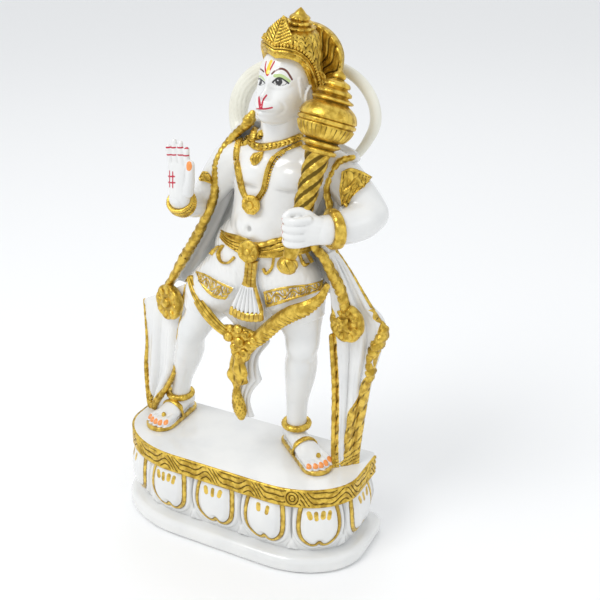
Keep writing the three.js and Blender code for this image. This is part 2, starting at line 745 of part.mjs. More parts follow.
function shawlEnds() {
  const right = shawlEnd(
    [
      [-13.6, 1.4, 38.0],
      [-17.0, 1.9, 24.8],
      [-19.4, 2.6, 13.4],
      [-26.4, 4.0, 2.2],
      [-27.3, 4.2, 0],
    ],
    [
      [-27.8, 4.0, 30.0],
      [-27.8, 4.0, 19.5],
      [-28.8, 4.2, 12.0],
      [-28.9, 4.5, 2.6],
      [-28.7, 4.5, 0],
    ],
    2,
    new THREE.Vector3(-0.2, -1, 0),
  );
  const left = shawlEnd(
    [
      [21.2, -0.2, 52.0],
      [21.6, 0.6, 47.5],
      [21.9, 1.4, 41.0],
      [21.9, 1.8, 33.0],
      [22.6, 2.2, 20.0],
      [22.3, 2.0, 5.0],
      [22.3, 2.0, 0],
    ],
    [
      [22.8, 1.6, 53.0],
      [25.6, 3.6, 47.5],
      [29.2, 5.5, 40.3],
      [32.3, 6.9, 34.4],
      [29.8, 6.2, 21.0],
      [27.7, 6.4, 5.0],
      [27.5, 6.4, 0],
    ],
    3,
    new THREE.Vector3(0.5, -1, 0),
  );
  return [right, left];
}

// The garland slung from thigh to thigh, with its cluster of leaves and its tassel.
function garland() {
  const swag = limb(
    [
      [-11.6, -2.4, 39.6, 1.1, 0.9],
      [-7.4, -5.0, 36.4, 1.4, 0.9],
      [-2.4, -5.2, 31.8, 1.4, 0.9],
      [2.2, -4.6, 29.4, 1.6, 1.0],
      [6.6, -4.8, 31.6, 1.5, 1.0],
      [12.0, -6.4, 36.0, 1.5, 0.9],
      [18.6, -5.2, 39.0, 1.3, 0.9],
    ],
    { wideAxis: Z, sides: 6, capRings: 1 },
  );
  const cluster = rosette(at(2.5, -5.2, 30.2), new THREE.Vector3(0, -1, 0), CLUSTER_RADIUS, 5);
  const tassel = limb(
    [
      [2.4, -4.8, 28.0, 3.0, 1.4],
      [2.2, -4.4, 22.0, 2.0, 1.2],
      [2.2, -4.2, 19.6, 2.7, 1.2],
      [2.0, -3.8, 16.6, 1.1, 0.9],
      [1.8, -3.4, 13.0, 1.9, 1.3],
      [1.6, -3.2, 10.4, 1.8, 1.2],
    ],
    { sides: 6, capRings: 1 },
  );
  const cloth = sheet(
    (u, v) => {
      const upper = Math.max(0, 1 - 5 * v);
      const lower = Math.max(0, v - 0.2);
      const jag = Math.abs(Math.sin(v * 3 * Math.PI));
      const left = 1.0 - 8.0 * upper;
      const right = 9.8 + 4.0 * upper - 6.4 * lower - 1.8 * jag;
      const middle = at(THREE.MathUtils.lerp(left, right, u), -3.2 + 1.6 * u, 39.5 - 29.7 * v);
      return { middle, back: Y.clone() };
    },
    2,
    9,
    SHAWL_THICKNESS * 0.8,
  );
  return [swag, tassel, cloth, cluster];
}

// The belt with its flower, hanging cords and the pleated fall of cloth in front.
function belt() {
  const lean = new THREE.Vector3(-0.1, 0, 1);
  const band = ridgedBand([7.6, 1.1, 52.9], [10.7, 7.5], 4.8, 2, lean, 12);
  const loops = [
    [
      [-2.4, -3.4, 51.0],
      [-3.2, -4.4, 47.6],
      [-3.8, -2.0, 50.6],
    ],
    [
      [11.4, -5.6, 51.0],
      [13.2, -6.6, 47.4],
      [14.8, -4.2, 51.0],
    ],
    [
      [15.4, -3.6, 51.0],
      [16.6, -3.6, 47.6],
      [17.2, -0.8, 51.0],
    ],
  ].map((points) => cord(points, 0.5, { sides: 4 }));
  const pleats = sheet(
    (u, v) => {
      const wide = 2.4 + 2.5 * v ** 1.6;
      const side = (u - 0.5) * 2 * wide;
      const fold = 0.4 * Math.cos(2 * Math.PI * 3 * u) * v;
      const flare = 0.5 * Math.cos((u - 0.5) * Math.PI) * v;
      const middle = at(6.4 - 1.2 * v + side, -6.3 - 0.6 * v - flare - fold, 50.6 - 13.4 * v);
      return { middle, back: Y.clone(), thick: v > 0.9 ? EDGE_FACTOR : 1 };
    },
    9,
    3,
    SHARE * 1.4,
  );
  return [band, ...loops, pleats];
}

// Necklaces: a close collar with a drop, and a long chain with a flower.
function necklaces() {
  const collar = cord(
    [
      [6.9, 0.6, 75.0],
      [7.6, -2.2, 73.2],
      [9.6, -3.6, 72.2],
      [12.4, -3.4, 72.6],
      [15.6, -1.6, 74.2],
      [16.4, 0.8, 75.6],
    ],
    0.75,
    { sides: 4 },
  );
  const drop = bead([9.2, -4.4, 70.6], [1.0, 0.9, 1.9], 5);
  const chain = cord(
    [
      [4.4, 0.0, 75.0],
      [3.6, -3.2, 71.4],
      [4.0, -5.2, 66.6],
      [6.0, -5.0, 63.2],
      [8.0, -5.1, 63.2],
      [10.2, -5.2, 66.8],
      [13.6, -4.2, 71.4],
      [18.0, -0.8, 74.4],
    ],
    0.55,
    { sides: 4 },
  );
  return [collar, drop, chain];
}

const TAIL_PATH = [
  [23.6, 5.4, 70.6],
  [25.6, 9.2, 74.2],
  [27.4, 10.6, 79.0],
  [25.6, 10.6, 85.0],
  [20.4, 10.4, 89.6],
  [12.8, 10.4, 90.8],
  [4.6, 10.6, 88.0],
  [-2.6, 10.8, 82.6],
  [-6.2, 10.8, 76.6],
  [-4.4, 9.0, 71.6],
  [-1.0, 5.4, 69.0],
];

// The tail rises behind one shoulder, loops behind the crown and ends in a tuft at the other.
function tailForm(extra) {
  const slim = TAIL_DIAMETER / 2;
  const full = TUFT_DIAMETER / 2;
  const stations = TAIL_PATH.map(([x, y, z], i) => {
    const share = i / (TAIL_PATH.length - 1);
    const ends = 0.68 + 0.32 * Math.min(1, share * 6, (1 - share) * 4);
    const girth = THREE.MathUtils.lerp(slim, full, THREE.MathUtils.smoothstep(share, 0.5, 0.8));
    return [x, y, z, (girth * ends + extra) / SHARE];
  });
  return solid(limb(stations, { sides: 6, steps: 2, wideAxis: Y }));
}

function buildFigure() {
  const forward = new THREE.Vector3(0, -1, 0);
  const plain = [
    ...torso(),
    ...legs(),
    ...arms(),
    mace(),
    shawl(),
    ...shawlEnds(),
    ...garland(),
    ...belt(),
    ...necklaces(),
    rosette(RIGHT_ROSETTE, new THREE.Vector3(-0.3, -1, 0), ROSETTE_RADIUS, 7),
    rosette(LEFT_ROSETTE, new THREE.Vector3(0.1, -1, 0), ROSETTE_RADIUS, 7),
    rosette(at(6.6, -5.6, 52.6), forward, BELT_FLOWER_RADIUS, 5),
    rosette(at(6.9, -5.6, 61.8), forward, CHAIN_FLOWER_RADIUS, 5),
    rosette(at(12.6, -5.8, 49.0), forward, BELT_FLOWER_RADIUS, 5),
  ].map((geometry) => solid(geometry));
  const whole = join([
    ...plain,
    ...head(),
    crownPlate(),
    foot(FEET.right),
    foot(FEET.left),
  ]);
  return withoutPockets(whole).subtract(tailForm(GLUE_GAP));
}

const marble = new THREE.MeshStandardMaterial({ color: 0xf2f0ec, roughness: 0.25, metalness: 0 });
const cream = new THREE.MeshStandardMaterial({ color: 0xeeebdd, roughness: 0.4, metalness: 0 });

const group = new THREE.Group();
group.add(meshOf("plinth", buildPlinth(), marble));
group.add(meshOf("figure", buildFigure(), marble));
group.add(meshOf("tail", tailForm(0), cream));

export default group;
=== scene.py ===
"""Looks of a painted, cast figure with a monkey face on a lotus plinth.

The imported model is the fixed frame. Every piece is modelled in millimetres and finished in
metres, in the frame's own axes: +Z up, the figure faces -Y and its left hand is on +X.
"""

import logging
import math
from dataclasses import dataclass
from enum import Enum
from math import pi
from typing import Callable, Sequence

import bmesh
import bpy
import numpy as np
from mathutils import Matrix, Vector
from mathutils.bvhtree import BVHTree


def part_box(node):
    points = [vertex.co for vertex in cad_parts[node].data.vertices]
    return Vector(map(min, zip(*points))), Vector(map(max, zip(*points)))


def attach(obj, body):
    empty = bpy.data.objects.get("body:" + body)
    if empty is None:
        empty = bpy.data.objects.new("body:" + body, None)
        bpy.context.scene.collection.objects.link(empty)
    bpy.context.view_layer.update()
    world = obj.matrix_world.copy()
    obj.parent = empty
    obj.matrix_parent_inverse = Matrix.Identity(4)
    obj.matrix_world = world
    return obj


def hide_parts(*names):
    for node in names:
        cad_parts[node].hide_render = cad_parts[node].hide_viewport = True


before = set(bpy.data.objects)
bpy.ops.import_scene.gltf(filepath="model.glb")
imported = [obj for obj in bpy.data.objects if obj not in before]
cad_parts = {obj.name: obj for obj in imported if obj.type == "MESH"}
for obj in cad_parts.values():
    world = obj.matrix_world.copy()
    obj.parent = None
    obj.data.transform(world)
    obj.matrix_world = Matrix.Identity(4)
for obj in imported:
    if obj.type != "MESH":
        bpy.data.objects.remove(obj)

Mesh = bmesh.types.BMesh
Finish = bpy.types.Material
Array = np.ndarray
Numbers = Array | float
Point = Sequence[float] | Array
Places = Sequence[Sequence[float]]
Colour = tuple[float, float, float, float]

LOG = logging.getLogger("figure")
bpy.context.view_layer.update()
ROOT = "root"
MM = 0.001
# The plinth's top, in millimetres.
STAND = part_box("plinth")[1].z / MM
# One hundredth of the figure's height: poses and proportions are given in such shares.
SHARE = 3.125
# The depth of a place far outside a painted mark.
UNMARKED = -9.0
# The part of their full number of faces that limbs, turned forms and sheets get.
DETAIL = 0.66


class Slot(Enum):
    """The record's material slots."""

    PLINTH = "plinth_marble"
    FIGURE = "figure_marble"
    TAIL = "tail_cream"


def at(x: float, y: float, z: float) -> Array:
    """A place given in shares of the figure's height, in millimetres."""
    return np.array([x * SHARE, y * SHARE, STAND + z * SHARE])


def smoothstep(low: float, high: float, value: Numbers) -> Numbers:
    """0 below low, 1 above high and a smooth step between."""
    t = np.clip((np.asarray(value, float) - low) / (high - low), 0.0, 1.0)
    return t * t * (3 - 2 * t)


def swell(distance: Numbers, reach: float) -> Numbers:
    """A round bump of height 1 that fades over reach."""
    return np.exp(-((np.asarray(distance, float) / reach) ** 2))


class Line:
    """A smooth line through points of any number of coordinates."""

    def __init__(self, points: Places) -> None:
        """Takes the points, in order."""
        self.points = np.asarray(points, float)
        self.spans = len(self.points) - 1

    def get(self, t: Numbers) -> Array:
        """Points at the shares t of the number of spans.

        Args:
            t: one share or an array of them, 0 at the start and 1 at the end.

        Returns:
            One row for each share.
        """
        t = np.clip(np.atleast_1d(np.asarray(t, float)), 0, 1) * self.spans
        i = np.minimum(t.astype(int), self.spans - 1)
        f = (t - i)[:, None]
        p = np.vstack([2 * self.points[0] - self.points[1], self.points,
                       2 * self.points[-1] - self.points[-2]])
        a, b, c, d = p[i], p[i + 1], p[i + 2], p[i + 3]
        return 0.5 * (2 * b + (c - a) * f + (2 * a - 5 * b + 4 * c - d) * f ** 2
                      + (3 * b - a - 3 * c + d) * f ** 3)

    def heading(self, t: Numbers) -> Array:
        """Unit directions along the line at the shares t.

        Args:
            t: shares along the form, 0 to 1.

        Returns:
            The directions as rows.
        """
        step = 1e-3
        t = np.atleast_1d(np.asarray(t, float))
        way = self.get(np.minimum(t + step, 1)) - self.get(np.maximum(t - step, 0))
        return way / np.maximum(np.linalg.norm(way, axis=1, keepdims=True), 1e-9)

    def length(self) -> float:
        """The line's length."""
        p = self.get(np.linspace(0, 1, 20 * self.spans + 1))
        return float(np.linalg.norm(np.diff(p, axis=0), axis=1).sum())

    def even(self, count: int) -> Array:
        """The shares t of points at even distances along the line.

        Args:
            count: how many points.

        Returns:
            The shares.
        """
        t = np.linspace(0, 1, 40 * self.spans + 1)
        run = np.linalg.norm(np.diff(self.get(t), axis=0), axis=1).cumsum()
        return np.interp(np.linspace(0, run[-1], count), np.insert(run, 0, 0), t)


# Mesh making. Each function adds one closed form to a bmesh, in millimetres.

def unit_rows(rows: Array) -> Array:
    """Rows as unit vectors."""
    return rows / np.maximum(np.linalg.norm(rows, axis=1, keepdims=True), 1e-9)


def placed(verts: Sequence, places: Array) -> None:
    """Moves bmesh vertices to rows of places."""
    for vert, place in zip(verts, places):
        vert.co = place


def absorb(bm: Mesh, form: Mesh) -> None:
    """Moves a form's own mesh, which is freed, into a larger one.

    Args:
        bm: the mesh that takes it.
        form: the form's own mesh.
    """
    mesh = bpy.data.meshes.new("form")
    form.to_mesh(mesh)
    form.free()
    bm.from_mesh(mesh)
    bpy.data.meshes.remove(mesh)


def thinned(count: int) -> int:
    """A number of faces, brought to the scene's detail.

    Args:
        count: the full number.

    Returns:
        The smaller number.
    """
    return max(1, round(count * DETAIL))


def closed_tube(sides: int, rings: int, shape: Callable) -> Mesh:
    """Makes a closed form from rings that begin and end in a point.

    Args:
        sides: faces round it.
        rings: faces from end to end.
        shape: gives points, as rows, from the ring numbers and the turns.

    Returns:
        The form's own mesh.
    """
    form = bmesh.new()
    grid = bmesh.ops.create_grid(form, x_segments=sides, y_segments=rings, size=0.5)["verts"]
    co = np.array([vert.co for vert in grid])
    ring = np.round((co[:, 1] + 0.5) * rings)
    placed(grid, shape(ring, 2 * pi * co[:, 0]))
    bmesh.ops.remove_doubles(form, verts=grid, dist=1e-5)
    return form


def add_ball(bm: Mesh, centre: Point, half_sizes: Point, turn: Matrix | None = None,
             sides: int = 24) -> None:
    """Adds an ellipsoid.

    Args:
        bm: the mesh.
        centre: its middle.
        half_sizes: half its width, depth and height.
        turn: a rotation, or None.
        sides: faces round it.
    """
    form = bmesh.new()
    bmesh.ops.create_uvsphere(form, u_segments=sides, v_segments=max(6, sides // 2), radius=1)
    matrix = Matrix.Translation(Vector(centre)) @ (turn or Matrix.Identity(4))
    bmesh.ops.transform(form, verts=form.verts, matrix=matrix @ Matrix.Diagonal((*half_sizes, 1)))
    absorb(bm, form)


class Limb:
    """A tapering form along a smooth line."""

    def __init__(self, stations: Places, wide_axis: Point = (1.0, 0.0, 0.0),
                 share_units: bool = True) -> None:
        """Takes the form's stations.

        Args:
            stations: rows of x, y, z, half width and, if it differs, half depth.
            wide_axis: the direction that the half width runs along.
            share_units: True where the stations are shares of the figure's height.
        """
        rows = [tuple(row) if len(row) == 5 else (*row, row[3]) for row in stations]
        scale = SHARE if share_units else 1.0
        self.line = Line([at(*row[:3]) if share_units else row[:3] for row in rows])
        self.girth = Line([(row[3] * scale, row[4] * scale) for row in rows])
        self.axis = np.asarray(wide_axis, float)

    def frame(self, t: Numbers) -> tuple[Array, Array, Array, Array]:
        """The middle, the way along, the wide and the deep directions at the shares t.

        Args:
            t: shares along the form, 0 to 1.

        Returns:
            The four, as rows.
        """
        along = self.line.heading(t)
        wide = unit_rows(self.axis - along * (along @ self.axis)[:, None])
        return self.line.get(t), along, wide, np.cross(along, wide)

    def surface(self, t: Numbers, turn: Numbers, out: Numbers = 0.0) -> Array:
        """Points on the form.

        Args:
            t: shares along it.
            turn: turns round it, in radians.
            out: how far the points stand off it, in millimetres.

        Returns:
            One row for each share.
        """
        middle, _, wide, deep = self.frame(t)
        size = self.girth.get(t) + np.asarray(out, float).reshape(-1, 1)
        return (middle + wide * (np.cos(turn) * size[:, 0])[:, None]
                + deep * (np.sin(turn) * size[:, 1])[:, None])


def add_limb(bm: Mesh, stations: Places, sides: int = 28,
             rings: int = 8, wide_axis: Point = (1.0, 0.0, 0.0), caps: int = 4,
             relief: Callable | None = None, share_units: bool = True) -> None:
    """Adds a tapering form with rounded ends along a smooth line.

    Args:
        bm: the mesh.
        stations: rows of x, y, z, half width and, if it differs, half depth.
        sides: faces round it.
        rings: rings for each span between stations.
        wide_axis: the direction that the half width runs along.
        caps: rings in each rounded end.
        relief: gives a factor on the girth from the share along and the turn, as arrays.
        share_units: True where the stations are shares of the figure's height.
    """
    form = Limb(stations, wide_axis, share_units)
    sides = max(10, thinned(sides))
    spans = form.line.spans * thinned(rings)
    total = spans + 2 * caps

    def shape(ring: Array, turn: Array) -> Array:
        """Points on one ring at each turn.

        Args:
            ring: the rings' numbers.
            turn: turns round the axis, in radians.

        Returns:
            The places as rows, in millimetres.
        """
        from_end = np.minimum(np.minimum(ring, total - ring), caps)
        tilt = (pi / 2) * (1 - from_end / caps)
        t = np.clip((ring - caps) / spans, 0, 1)
        middle, along, wide, deep = form.frame(t)
        size = form.girth.get(t)
        reach = np.where(ring < total / 2, -1, 1) * np.sin(tilt) * size.min(axis=1)
        scale = np.cos(tilt) * (relief(t, turn) if relief else 1.0)
        places = middle + along * reach[:, None]
        places = places + wide * (np.cos(turn) * scale * size[:, 0])[:, None]
        return places + deep * (np.sin(turn) * scale * size[:, 1])[:, None]

    absorb(bm, closed_tube(sides, total, shape))


def add_turned(bm: Mesh, profile: Sequence[tuple[float, float]], base: Point, axis: Point,
               sides: int = 64, rings: int = 6, smooth: bool = True,
               relief: Callable | None = None) -> None:
    """Adds a turned form.

    Args:
        bm: the mesh.
        profile: radius and height pairs from the lower axis point to the upper one.
        base: where height 0 lies.
        axis: the direction of the height.
        sides: faces round it.
        rings: rings for each pair.
        smooth: True for a curve through the pairs, False for straight runs.
        relief: gives a factor on the radius and an added turn, from the height and the turn.
    """
    line = Line(profile)
    sides = max(10, thinned(sides))
    total = line.spans * thinned(rings)
    pairs = np.asarray(profile, float)
    lean = np.array(Vector((0, 0, 1)).rotation_difference(Vector(axis)).to_matrix()).T

    def shape(ring: Array, turn: Array) -> Array:
        """Points on one ring at each turn.

        Args:
            ring: the rings' numbers.
            turn: turns round the axis, in radians.

        Returns:
            The places as rows, in millimetres.
        """
        if smooth:
            radius, height = line.get(ring / total).T
        else:
            steps = ring / total * line.spans
            radius = np.interp(steps, range(len(pairs)), pairs[:, 0])
            height = np.interp(steps, range(len(pairs)), pairs[:, 1])
        radius = np.maximum(radius, 0) * ((ring > 0) & (ring < total))
        factor, twist = relief(height, turn) if relief else (1.0, 0.0)
        spin = turn + twist
        flat = np.stack([radius * factor * np.cos(spin), radius * factor * np.sin(spin), height], 1)
        return flat @ lean + np.asarray(base, float)

    absorb(bm, closed_tube(sides, total, shape))


def add_sheet(bm: Mesh, surface: Callable, columns: int, rows: int,
              thickness: float, relief: Callable | None = None,
              marks: Callable | None = None, mark_layer: str = "gold") -> None:
    """Adds a closed sheet of some thickness over a surface.

    Args:
        bm: the mesh.
        surface: gives points, as rows, from arrays u and v of 0 to 1.
        columns: faces along u.
        rows: faces along v.
        thickness: how thick it is, behind the surface.
        relief: gives how far the front stands out, from u and v.
        marks: gives the painted mark's signed depth inside its edge, from u and v.
        mark_layer: the name of the layer that the mark is written to.
    """
    layer = bm.verts.layers.float.get(mark_layer) or bm.verts.layers.float.new(mark_layer)
    columns, rows = thinned(columns), thinned(rows)
    grid = bmesh.ops.create_grid(bm, x_segments=columns, y_segments=rows, size=0.5)["verts"]
    faces = list({face for vert in grid for face in vert.link_faces})
    lifted = bmesh.ops.extrude_face_region(bm, geom=faces)["geom"]
    front = [item for item in lifted if isinstance(item, bmesh.types.BMVert)]
    small = 1e-3
    for verts, is_front in ((grid, False), (front, True)):
        co = np.array([vert.co for vert in verts])
        u, v = co[:, 0] + 0.5, 0.5 - co[:, 1]
        places = surface(u, v)
        across = surface(np.minimum(u + small, 1), v) - surface(np.maximum(u - small, 0), v)
        down = surface(u, np.minimum(v + small, 1)) - surface(u, np.maximum(v - small, 0))
        out = unit_rows(np.cross(down, across))
        lift = np.full(len(verts), -thickness)
        if is_front:
            lift = np.zeros(len(verts)) + (relief(u, v) if relief else 0.0)
        depth = marks(u, v) if marks and is_front else np.full(len(verts), UNMARKED)
        for vert, place, value in zip(verts, places + out * lift[:, None], depth):
            vert.co = place
            vert[layer] = value


def path_distance(points: Array, path: Array) -> Array:
    """Distances from points to a run of short straight steps, in the same two or three axes.

    Args:
        points: the places, or how many of them.
        path: the run's corners.

    Returns:
        The distances.
    """
    best = np.full(len(points), 1e9)
    for start, end in zip(path[:-1], path[1:]):
        step = end - start
        t = np.clip((points - start) @ step / max(float(step @ step), 1e-12), 0, 1)
        best = np.minimum(best, np.linalg.norm(points - start - t[:, None] * step, axis=1))
    return best


def inside_path(points: Array, path: Array) -> Array:
    """Whether points lie inside a closed run of steps in a plane.

    Args:
        points: the places, or how many of them.
        path: the run's corners.

    Returns:
        True for each point inside.
    """
    inside = np.zeros(len(points), bool)
    for (ax, ay), (bx, by) in zip(path, np.roll(path, -1, axis=0)):
        crosses = (ay > points[:, 1]) != (by > points[:, 1])
        run = by - ay if abs(by - ay) > 1e-12 else 1e-12
        inside ^= crosses & (points[:, 0] < ax + (points[:, 1] - ay) / run * (bx - ax))
    return inside


def view_from(azimuth: float, elevation: float) -> tuple[Vector, Vector, Vector]:
    """The directions of a view of the figure.

    Args:
        azimuth: how far it is turned from the front towards +X, in degrees.
        elevation: how far it looks down, in degrees.

    Returns:
        The right, the up and the backward direction.
    """
    a, e = math.radians(azimuth), math.radians(elevation)
    right = Vector((math.cos(a), math.sin(a), 0))
    back = Vector((math.sin(a) * math.cos(e), -math.cos(a) * math.cos(e), math.sin(e)))
    return right, back.cross(right), back


@dataclass(frozen=True)
class Sight:
    """The photograph's camera, and where its lines of sight meet a form."""

    place: tuple[float, float, float] = (307.5, -504.8, 458.7)
    azimuth: float = 27.2
    elevation: float = 24.9
    focal_pixels: float = 952.5
    middle: float = 300.0

    def hits(self, trees: Sequence[BVHTree], pixels: Array) -> Array:
        """Where the lines of sight through picture points first meet any of the forms.

        Args:
            trees: the forms, in millimetres.
            pixels: rows of picture points.

        Returns:
            One place for each point. A line that meets nothing gets the nearest place.
        """
        right, up, back = view_from(self.azimuth, self.elevation)
        eye = Vector(self.place)
        far = 620.0
        places = []
        for across, down in pixels:
            ray = (right * ((across - self.middle) / self.focal_pixels)
                   + up * ((self.middle - down) / self.focal_pixels) - back).normalized()
            met = [hit for hit in (tree.ray_cast(eye, ray) for tree in trees) if hit[0]]
            if met:
                place, _, _, far = min(met, key=lambda hit: hit[3])
            else:
                near = [tree.find_nearest(eye + ray * far) for tree in trees]
                place = min(near, key=lambda hit: hit[3])[0]
            places.append(place)
        return np.array(places)


def add_patch(bm: Mesh, trees: Sequence[BVHTree], upper: Sequence, lower: Sequence,
              relief: Callable | None = None, size: tuple[int, int] = (120, 20),
              lift: float = 0.8, thickness: float = 1.8, marks: Callable | None = None) -> None:
    """Adds a raised patch that lies on forms between two lines of the picture.

    Args:
        bm: the mesh.
        trees: the forms that it lies on.
        upper: its upper edge as picture points, from left to right.
        lower: its lower edge.
        relief: gives its carving, from the shares along and across it.
        size: faces along and across it.
        lift: how far it stands off the forms.
        thickness: how far it reaches inwards.
        marks: gives the gold mark's depth, from the same shares.
    """
    top, foot = Line(upper), Line(lower)
    columns, rows = size
    share = np.linspace(0, 1, columns + 1)
    edges = top.get(top.even(columns + 1)), foot.get(foot.even(columns + 1))
    grid = np.stack([edges[0] + (edges[1] - edges[0]) * v for v in np.linspace(0, 1, rows + 1)])
    places = Sight().hits(trees, grid.reshape(-1, 2)).reshape(rows + 1, columns + 1, 3)
    for _ in range(2):
        calm = places.copy()
        calm[:, 1:-1] = (places[:, :-2] + 2 * places[:, 1:-1] + places[:, 2:]) / 4
        places = calm
    across = np.gradient(places, axis=1)
    down = np.gradient(places, axis=0)
    out = np.cross(down.reshape(-1, 3), across.reshape(-1, 3))
    lifted = places + unit_rows(out).reshape(places.shape) * lift

    def surface(u: Array, v: Array) -> Array:
        """Points on the patch, between those of the grid.

        Args:
            u: shares across, 0 to 1.
            v: shares down, 0 to 1.

        Returns:
            The places as rows, in millimetres.
        """
        i, j = np.clip(u * columns, 0, columns), np.clip(v * rows, 0, rows)
        i0, j0 = np.minimum(i.astype(int), columns - 1), np.minimum(j.astype(int), rows - 1)
        fi, fj = (i - i0)[:, None], (j - j0)[:, None]
        return ((lifted[j0, i0] * (1 - fi) + lifted[j0, i0 + 1] * fi) * (1 - fj)
                + (lifted[j0 + 1, i0] * (1 - fi) + lifted[j0 + 1, i0 + 1] * fi) * fj)

    add_sheet(bm, surface, columns, rows, thickness, relief, marks)


def beside(path: Sequence, half_widths: Point) -> tuple[Array, Array]:
    """The two edges of a strip of the picture along a path.

    Args:
        path: picture points, from left to right or from top to bottom.
        half_widths: half its width in picture points, one value or one for each point.

    Returns:
        The edge on the path's left and the one on its right.
    """
    line = Line(path)
    t = line.even(max(24, 6 * line.spans))
    way = line.heading(t)
    side = np.stack([way[:, 1], -way[:, 0]], axis=1)
    half = np.broadcast_to(np.asarray(half_widths, float), (line.spans + 1,))
    width = np.interp(t * line.spans, range(line.spans + 1), half)[:, None]
    return line.get(t) + side * width, line.get(t) - side * width


# Finished objects.

def cavity_of(mesh: bpy.types.Mesh, spread: float = 0.9) -> Array:
    """How deep each vertex lies below its surroundings, in millimetres, for the painted shade in
    the recesses.

    Args:
        mesh: a mesh in metres.
        spread: how far the surroundings reach, in millimetres.

    Returns:
        One depth for each vertex, below zero on a ridge.
    """
    count = len(mesh.vertices)
    co = np.empty(count * 3)
    mesh.vertices.foreach_get("co", co)
    co = co.reshape(-1, 3) / MM
    normals = np.empty(count * 3)
    mesh.vertices.foreach_get("normal", normals)
    ends = np.empty(len(mesh.edges) * 2, int)
    mesh.edges.foreach_get("vertices", ends)
    one, two = ends.reshape(-1, 2).T
    step = np.linalg.norm(co[one] - co[two], axis=1).mean()
    degree = np.bincount(ends, minlength=count)[:, None]
    soft = co.copy()
    for _ in range(int(np.clip((spread / step) ** 2 * 2, 2, 24))):
        total = np.stack([np.bincount(one, soft[two, k], count) +
                          np.bincount(two, soft[one, k], count) for k in range(3)], axis=1)
        soft = total / np.maximum(degree, 1)
    return np.einsum("ij,ij->i", soft - co, normals.reshape(-1, 3))


def finished(name: str, bm: Mesh, material: Finish,
             replaces: Sequence[str] = ()) -> bpy.types.Object:
    """Turns a bmesh in millimetres into a piece that rides on the root body.

    Args:
        name: the piece's name.
        bm: the mesh, which is freed.
        material: its finish.
        replaces: the nodes that it stands for.

    Returns:
        The object, at the origin.
    """
    bmesh.ops.scale(bm, verts=bm.verts, vec=(MM, MM, MM))
    bmesh.ops.recalc_face_normals(bm, faces=bm.faces)
    mesh = bpy.data.meshes.new(name)
    bm.to_mesh(mesh)
    bm.free()
    mesh.polygons.foreach_set("use_smooth", [True] * len(mesh.polygons))
    # The cavity depth that the finishes darken as painted shade in the recesses.
    layer = mesh.attributes.new("cavity", "FLOAT", "POINT")
    layer.data.foreach_set("value", cavity_of(mesh))
    if "gold" not in mesh.attributes:
        plain = mesh.attributes.new("gold", "FLOAT", "POINT")
        plain.data.foreach_set("value", np.full(len(mesh.vertices), UNMARKED))
    mesh.materials.append(material)
    piece = bpy.data.objects.new(name, mesh)
    bpy.context.scene.collection.objects.link(piece)
    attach(piece, ROOT)
    if replaces:
        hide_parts(*replaces)
    LOG.info("%s: %d faces", name, len(mesh.polygons))
    return piece


def remeshed(bm: Mesh, voxel: float, passes: int) -> Mesh:
    """Fuses overlapping closed forms into one skin and softens it.

    Args:
        bm: the forms in millimetres, which are freed.
        voxel: the size of the new faces, in millimetres.
        passes: how many times the skin is smoothed.

    Returns:
        The new skin, in millimetres.
    """
    mesh = bpy.data.meshes.new("forms")
    bm.to_mesh(mesh)
    bm.free()
    forms = bpy.data.objects.new("forms", mesh)
    bpy.context.scene.collection.objects.link(forms)
    fuse = forms.modifiers.new("fuse", "REMESH")
    fuse.mode = "VOXEL"
    fuse.voxel_size = voxel
    soften = forms.modifiers.new("soften", "SMOOTH")
    soften.factor = 0.5
    soften.iterations = passes
    evaluated = forms.evaluated_get(bpy.context.evaluated_depsgraph_get())
    skin = bmesh.new()
    skin.from_mesh(evaluated.to_mesh())
    evaluated.to_mesh_clear()
    bpy.data.objects.remove(forms)
    bpy.data.meshes.remove(mesh)
    return skin


def arrays_of(bm: Mesh) -> tuple[Array, Array]:
    """The places and the normals of a bmesh's vertices, as rows.

    Args:
        bm: the mesh that takes it.

    Returns:
        The places and the normals.
    """
    bm.normal_update()
    return (np.array([vert.co for vert in bm.verts]),
            np.array([vert.normal for vert in bm.verts]))


def marked(bm: Mesh, name: str, depth: Array) -> None:
    """Writes how deep each vertex lies inside a painted mark's edge, in millimetres.

    Args:
        bm: the mesh that takes it.
        name: its name.
        depth: how deep it is.
    """
    layer = bm.verts.layers.float.get(name) or bm.verts.layers.float.new(name)
    for vert, value in zip(bm.verts, depth):
        vert[layer] = max(vert[layer], float(value)) if vert[layer] else float(value)


# Finishes.

class Socket:
    """A shader socket that takes part in Python expressions."""

    def __init__(self, book: "Book", link: bpy.types.NodeSocket) -> None:
        """Wraps a node's output in a material's book."""
        self.book = book
        self.link = link

    def math(self, operation: str, *values) -> "Socket":
        """This value and others through a Math node."""
        return self.book.node("ShaderNodeMath", {"operation": operation},
                              dict(enumerate((self, *values))))

    def __add__(self, other: "Socket | float") -> "Socket":
        """The sum."""
        return self.math("ADD", other)

    __radd__ = __add__

    def __mul__(self, other: "Socket | float") -> "Socket":
        """The product."""
        return self.math("MULTIPLY", other)

    __rmul__ = __mul__

    def __sub__(self, other: "Socket | float") -> "Socket":
        """The difference."""
        return self.math("SUBTRACT", other)

    def __rsub__(self, other: "Socket | float") -> "Socket":
        """The difference the other way round."""
        return (self * -1) + other

    def between(self, low: float, high: float) -> "Socket":
        """0 below low, 1 above high and a smooth step between."""
        return self.book.node("ShaderNodeMapRange", {"interpolation_type": "SMOOTHSTEP"},
                              {"Value": self, "From Min": low, "From Max": high})


